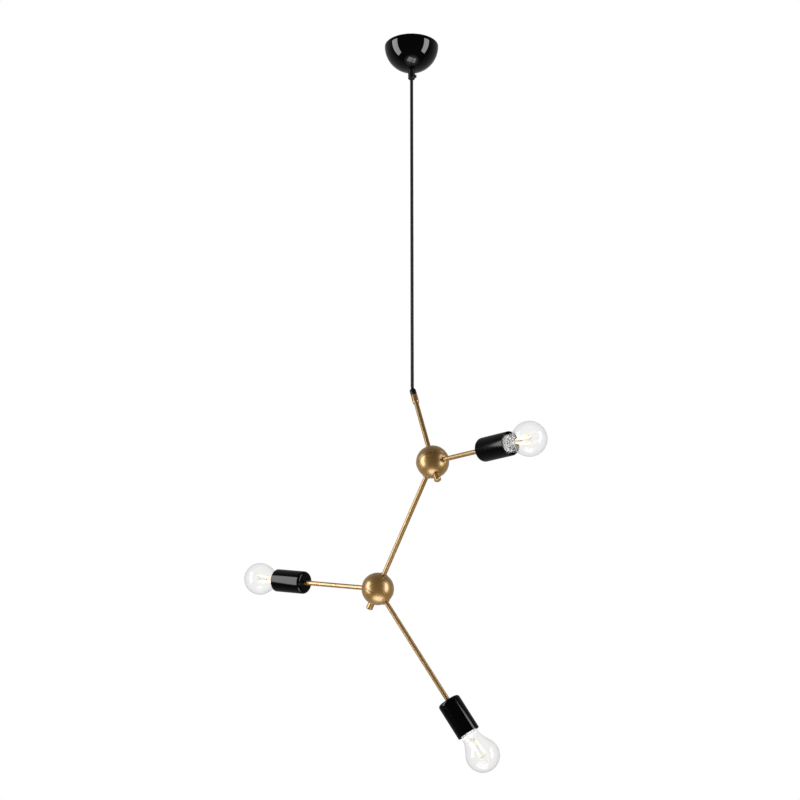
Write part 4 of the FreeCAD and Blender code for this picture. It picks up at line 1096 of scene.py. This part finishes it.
    def lower_wire(self, axis, foot, low, turn):
        """A cubic curve from the stem out to a filament's foot."""
        start = axis.place(1.6 * MM, low - 5.0 * MM, turn)
        middle = axis.place(2.2 * MM, low - 2.0 * MM, turn)
        return wire(bezier(start, middle, foot - axis.along * 1.5 * MM,
                           foot + axis.along * 0.6 * MM, 12), WIRE_RADIUS)

    def upper_wire(self, axis, head, high, turn):
        """A cubic curve from the centre post out to a filament's head."""
        hub = axis.place(0.0, high + 0.2 * MM, turn)
        return wire(bezier(hub, hub + axis.along * 1.0 * MM, head + axis.along * 1.8 * MM,
                           head - axis.along * 0.5 * MM, 12), WIRE_RADIUS)

    def screw_base(self, lamp, axis, body, size):
        """Screw cap with a helical ridge, black glass insulator and a soldered centre contact,
        each an outline carried round the axis."""
        low, high = axis.span(lamp + "_lamp_cap")
        rim = axis.reach(lamp + "_lamp_cap")
        valley = size.cap_radius - size.thread_depth
        insulator, sheet, rows = low + 4.2 * MM, 0.35 * MM, 110
        thread_low, thread_high = insulator + 0.6 * MM, high - 2.4 * MM
        rise = np.linspace(thread_low, thread_high, rows)
        wall = np.stack([np.full(rows, valley), rise], axis=1)
        collar = bezier((valley, high - 2.2 * MM), (valley + 0.1 * MM, high - 1.2 * MM),
                        (rim - 0.1 * MM, high - 1.4 * MM), (rim, high), 10)
        skirt = collar - (sheet, 0.0)
        inside = wall[::-1] - (sheet, 0.0)
        outline = np.concatenate([wall, collar, skirt[::-1], inside])
        thread = (size.thread_pitch, size.thread_depth, thread_low, thread_high)
        cap = build(lamp + "_screw_cap", [turned(axis, outline, 128, thread=thread)],
                    finish("cap"), body)
        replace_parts(cap, lamp + "_lamp_cap")
        face, broad, sunk = low + 0.5 * MM, 4.6 * MM, insulator + 2.0 * MM
        cone = rounded([(0.0, face, 0.0), (broad, face, 0.3 * MM),
                        (valley - 1.0 * MM, insulator + 0.2 * MM, 0.8 * MM),
                        (valley - 1.2 * MM, sunk, 0.0), (0.0, sunk, 0.0)])
        build(lamp + "_base_insulator", [turned(axis, cone, 72)], finish("vitrite"), body)
        tip = axis.span(lamp + "_lamp_tip")[0]
        button = rounded([(0.0, tip, 0.0), (3.6 * MM, tip + 0.3 * MM, 0.8 * MM),
                          (broad, tip + 1.5 * MM, 0.3 * MM), (0.0, low + 0.7 * MM, 0.0)])
        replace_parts(build(lamp + "_solder_contact", [turned(axis, button, 48)], finish("solder"),
                          body), lamp + "_lamp_tip")


class PENDANT_PT_panel(bpy.types.Panel):
    """The pendant light's pieces"""
    bl_idname = "PENDANT_PT_panel"
    bl_label = "Pendant light"
    bl_space_type = "VIEW_3D"
    bl_region_type = "UI"
    bl_category = "Pendant"

    def draw(self, context):
        for label, group in GROUPS:
            box = self.layout.box()
            box.label(text=label)
            settings = getattr(context.scene, group)
            for key in settings.bl_rna.properties.keys():
                if key not in ("rna_type", "name"):
                    box.prop(settings, key)
        for operator in STEPS:
            self.layout.operator(operator.bl_idname)


GROUPS = (("Studio", "pendant_studio"), ("Finishes", "pendant_finish"), ("Cord", "pendant_cord"),
          ("Hardware", "pendant_hardware"), ("Lamps", "pendant_lamp"))
SETTINGS = (StudioSettings, FinishSettings, CordSettings, HardwareSettings, LampSettings)
STEPS = (PENDANT_OT_stage, PENDANT_OT_cord, PENDANT_OT_finishes, PENDANT_OT_canopy,
         PENDANT_OT_fittings, PENDANT_OT_holders, PENDANT_OT_lamps)
CLASSES = (*SETTINGS, *STEPS, PENDANT_PT_panel)


def register():
    """Make the classes and the scene's settings known."""
    for item in CLASSES:
        bpy.utils.register_class(item)
    for (label, group), settings in zip(GROUPS, SETTINGS):
        setattr(bpy.types.Scene, group, PointerProperty(type=settings, name=label))


def unregister():
    """Take the settings and the classes away again."""
    for _, group in GROUPS:
        delattr(bpy.types.Scene, group)
    for item in reversed(CLASSES):
        bpy.utils.unregister_class(item)


def main():
    register()
    for operator in STEPS:
        family, name = operator.bl_idname.split(".")
        getattr(getattr(bpy.ops, family), name)()


if __name__ == "__main__":
    main()
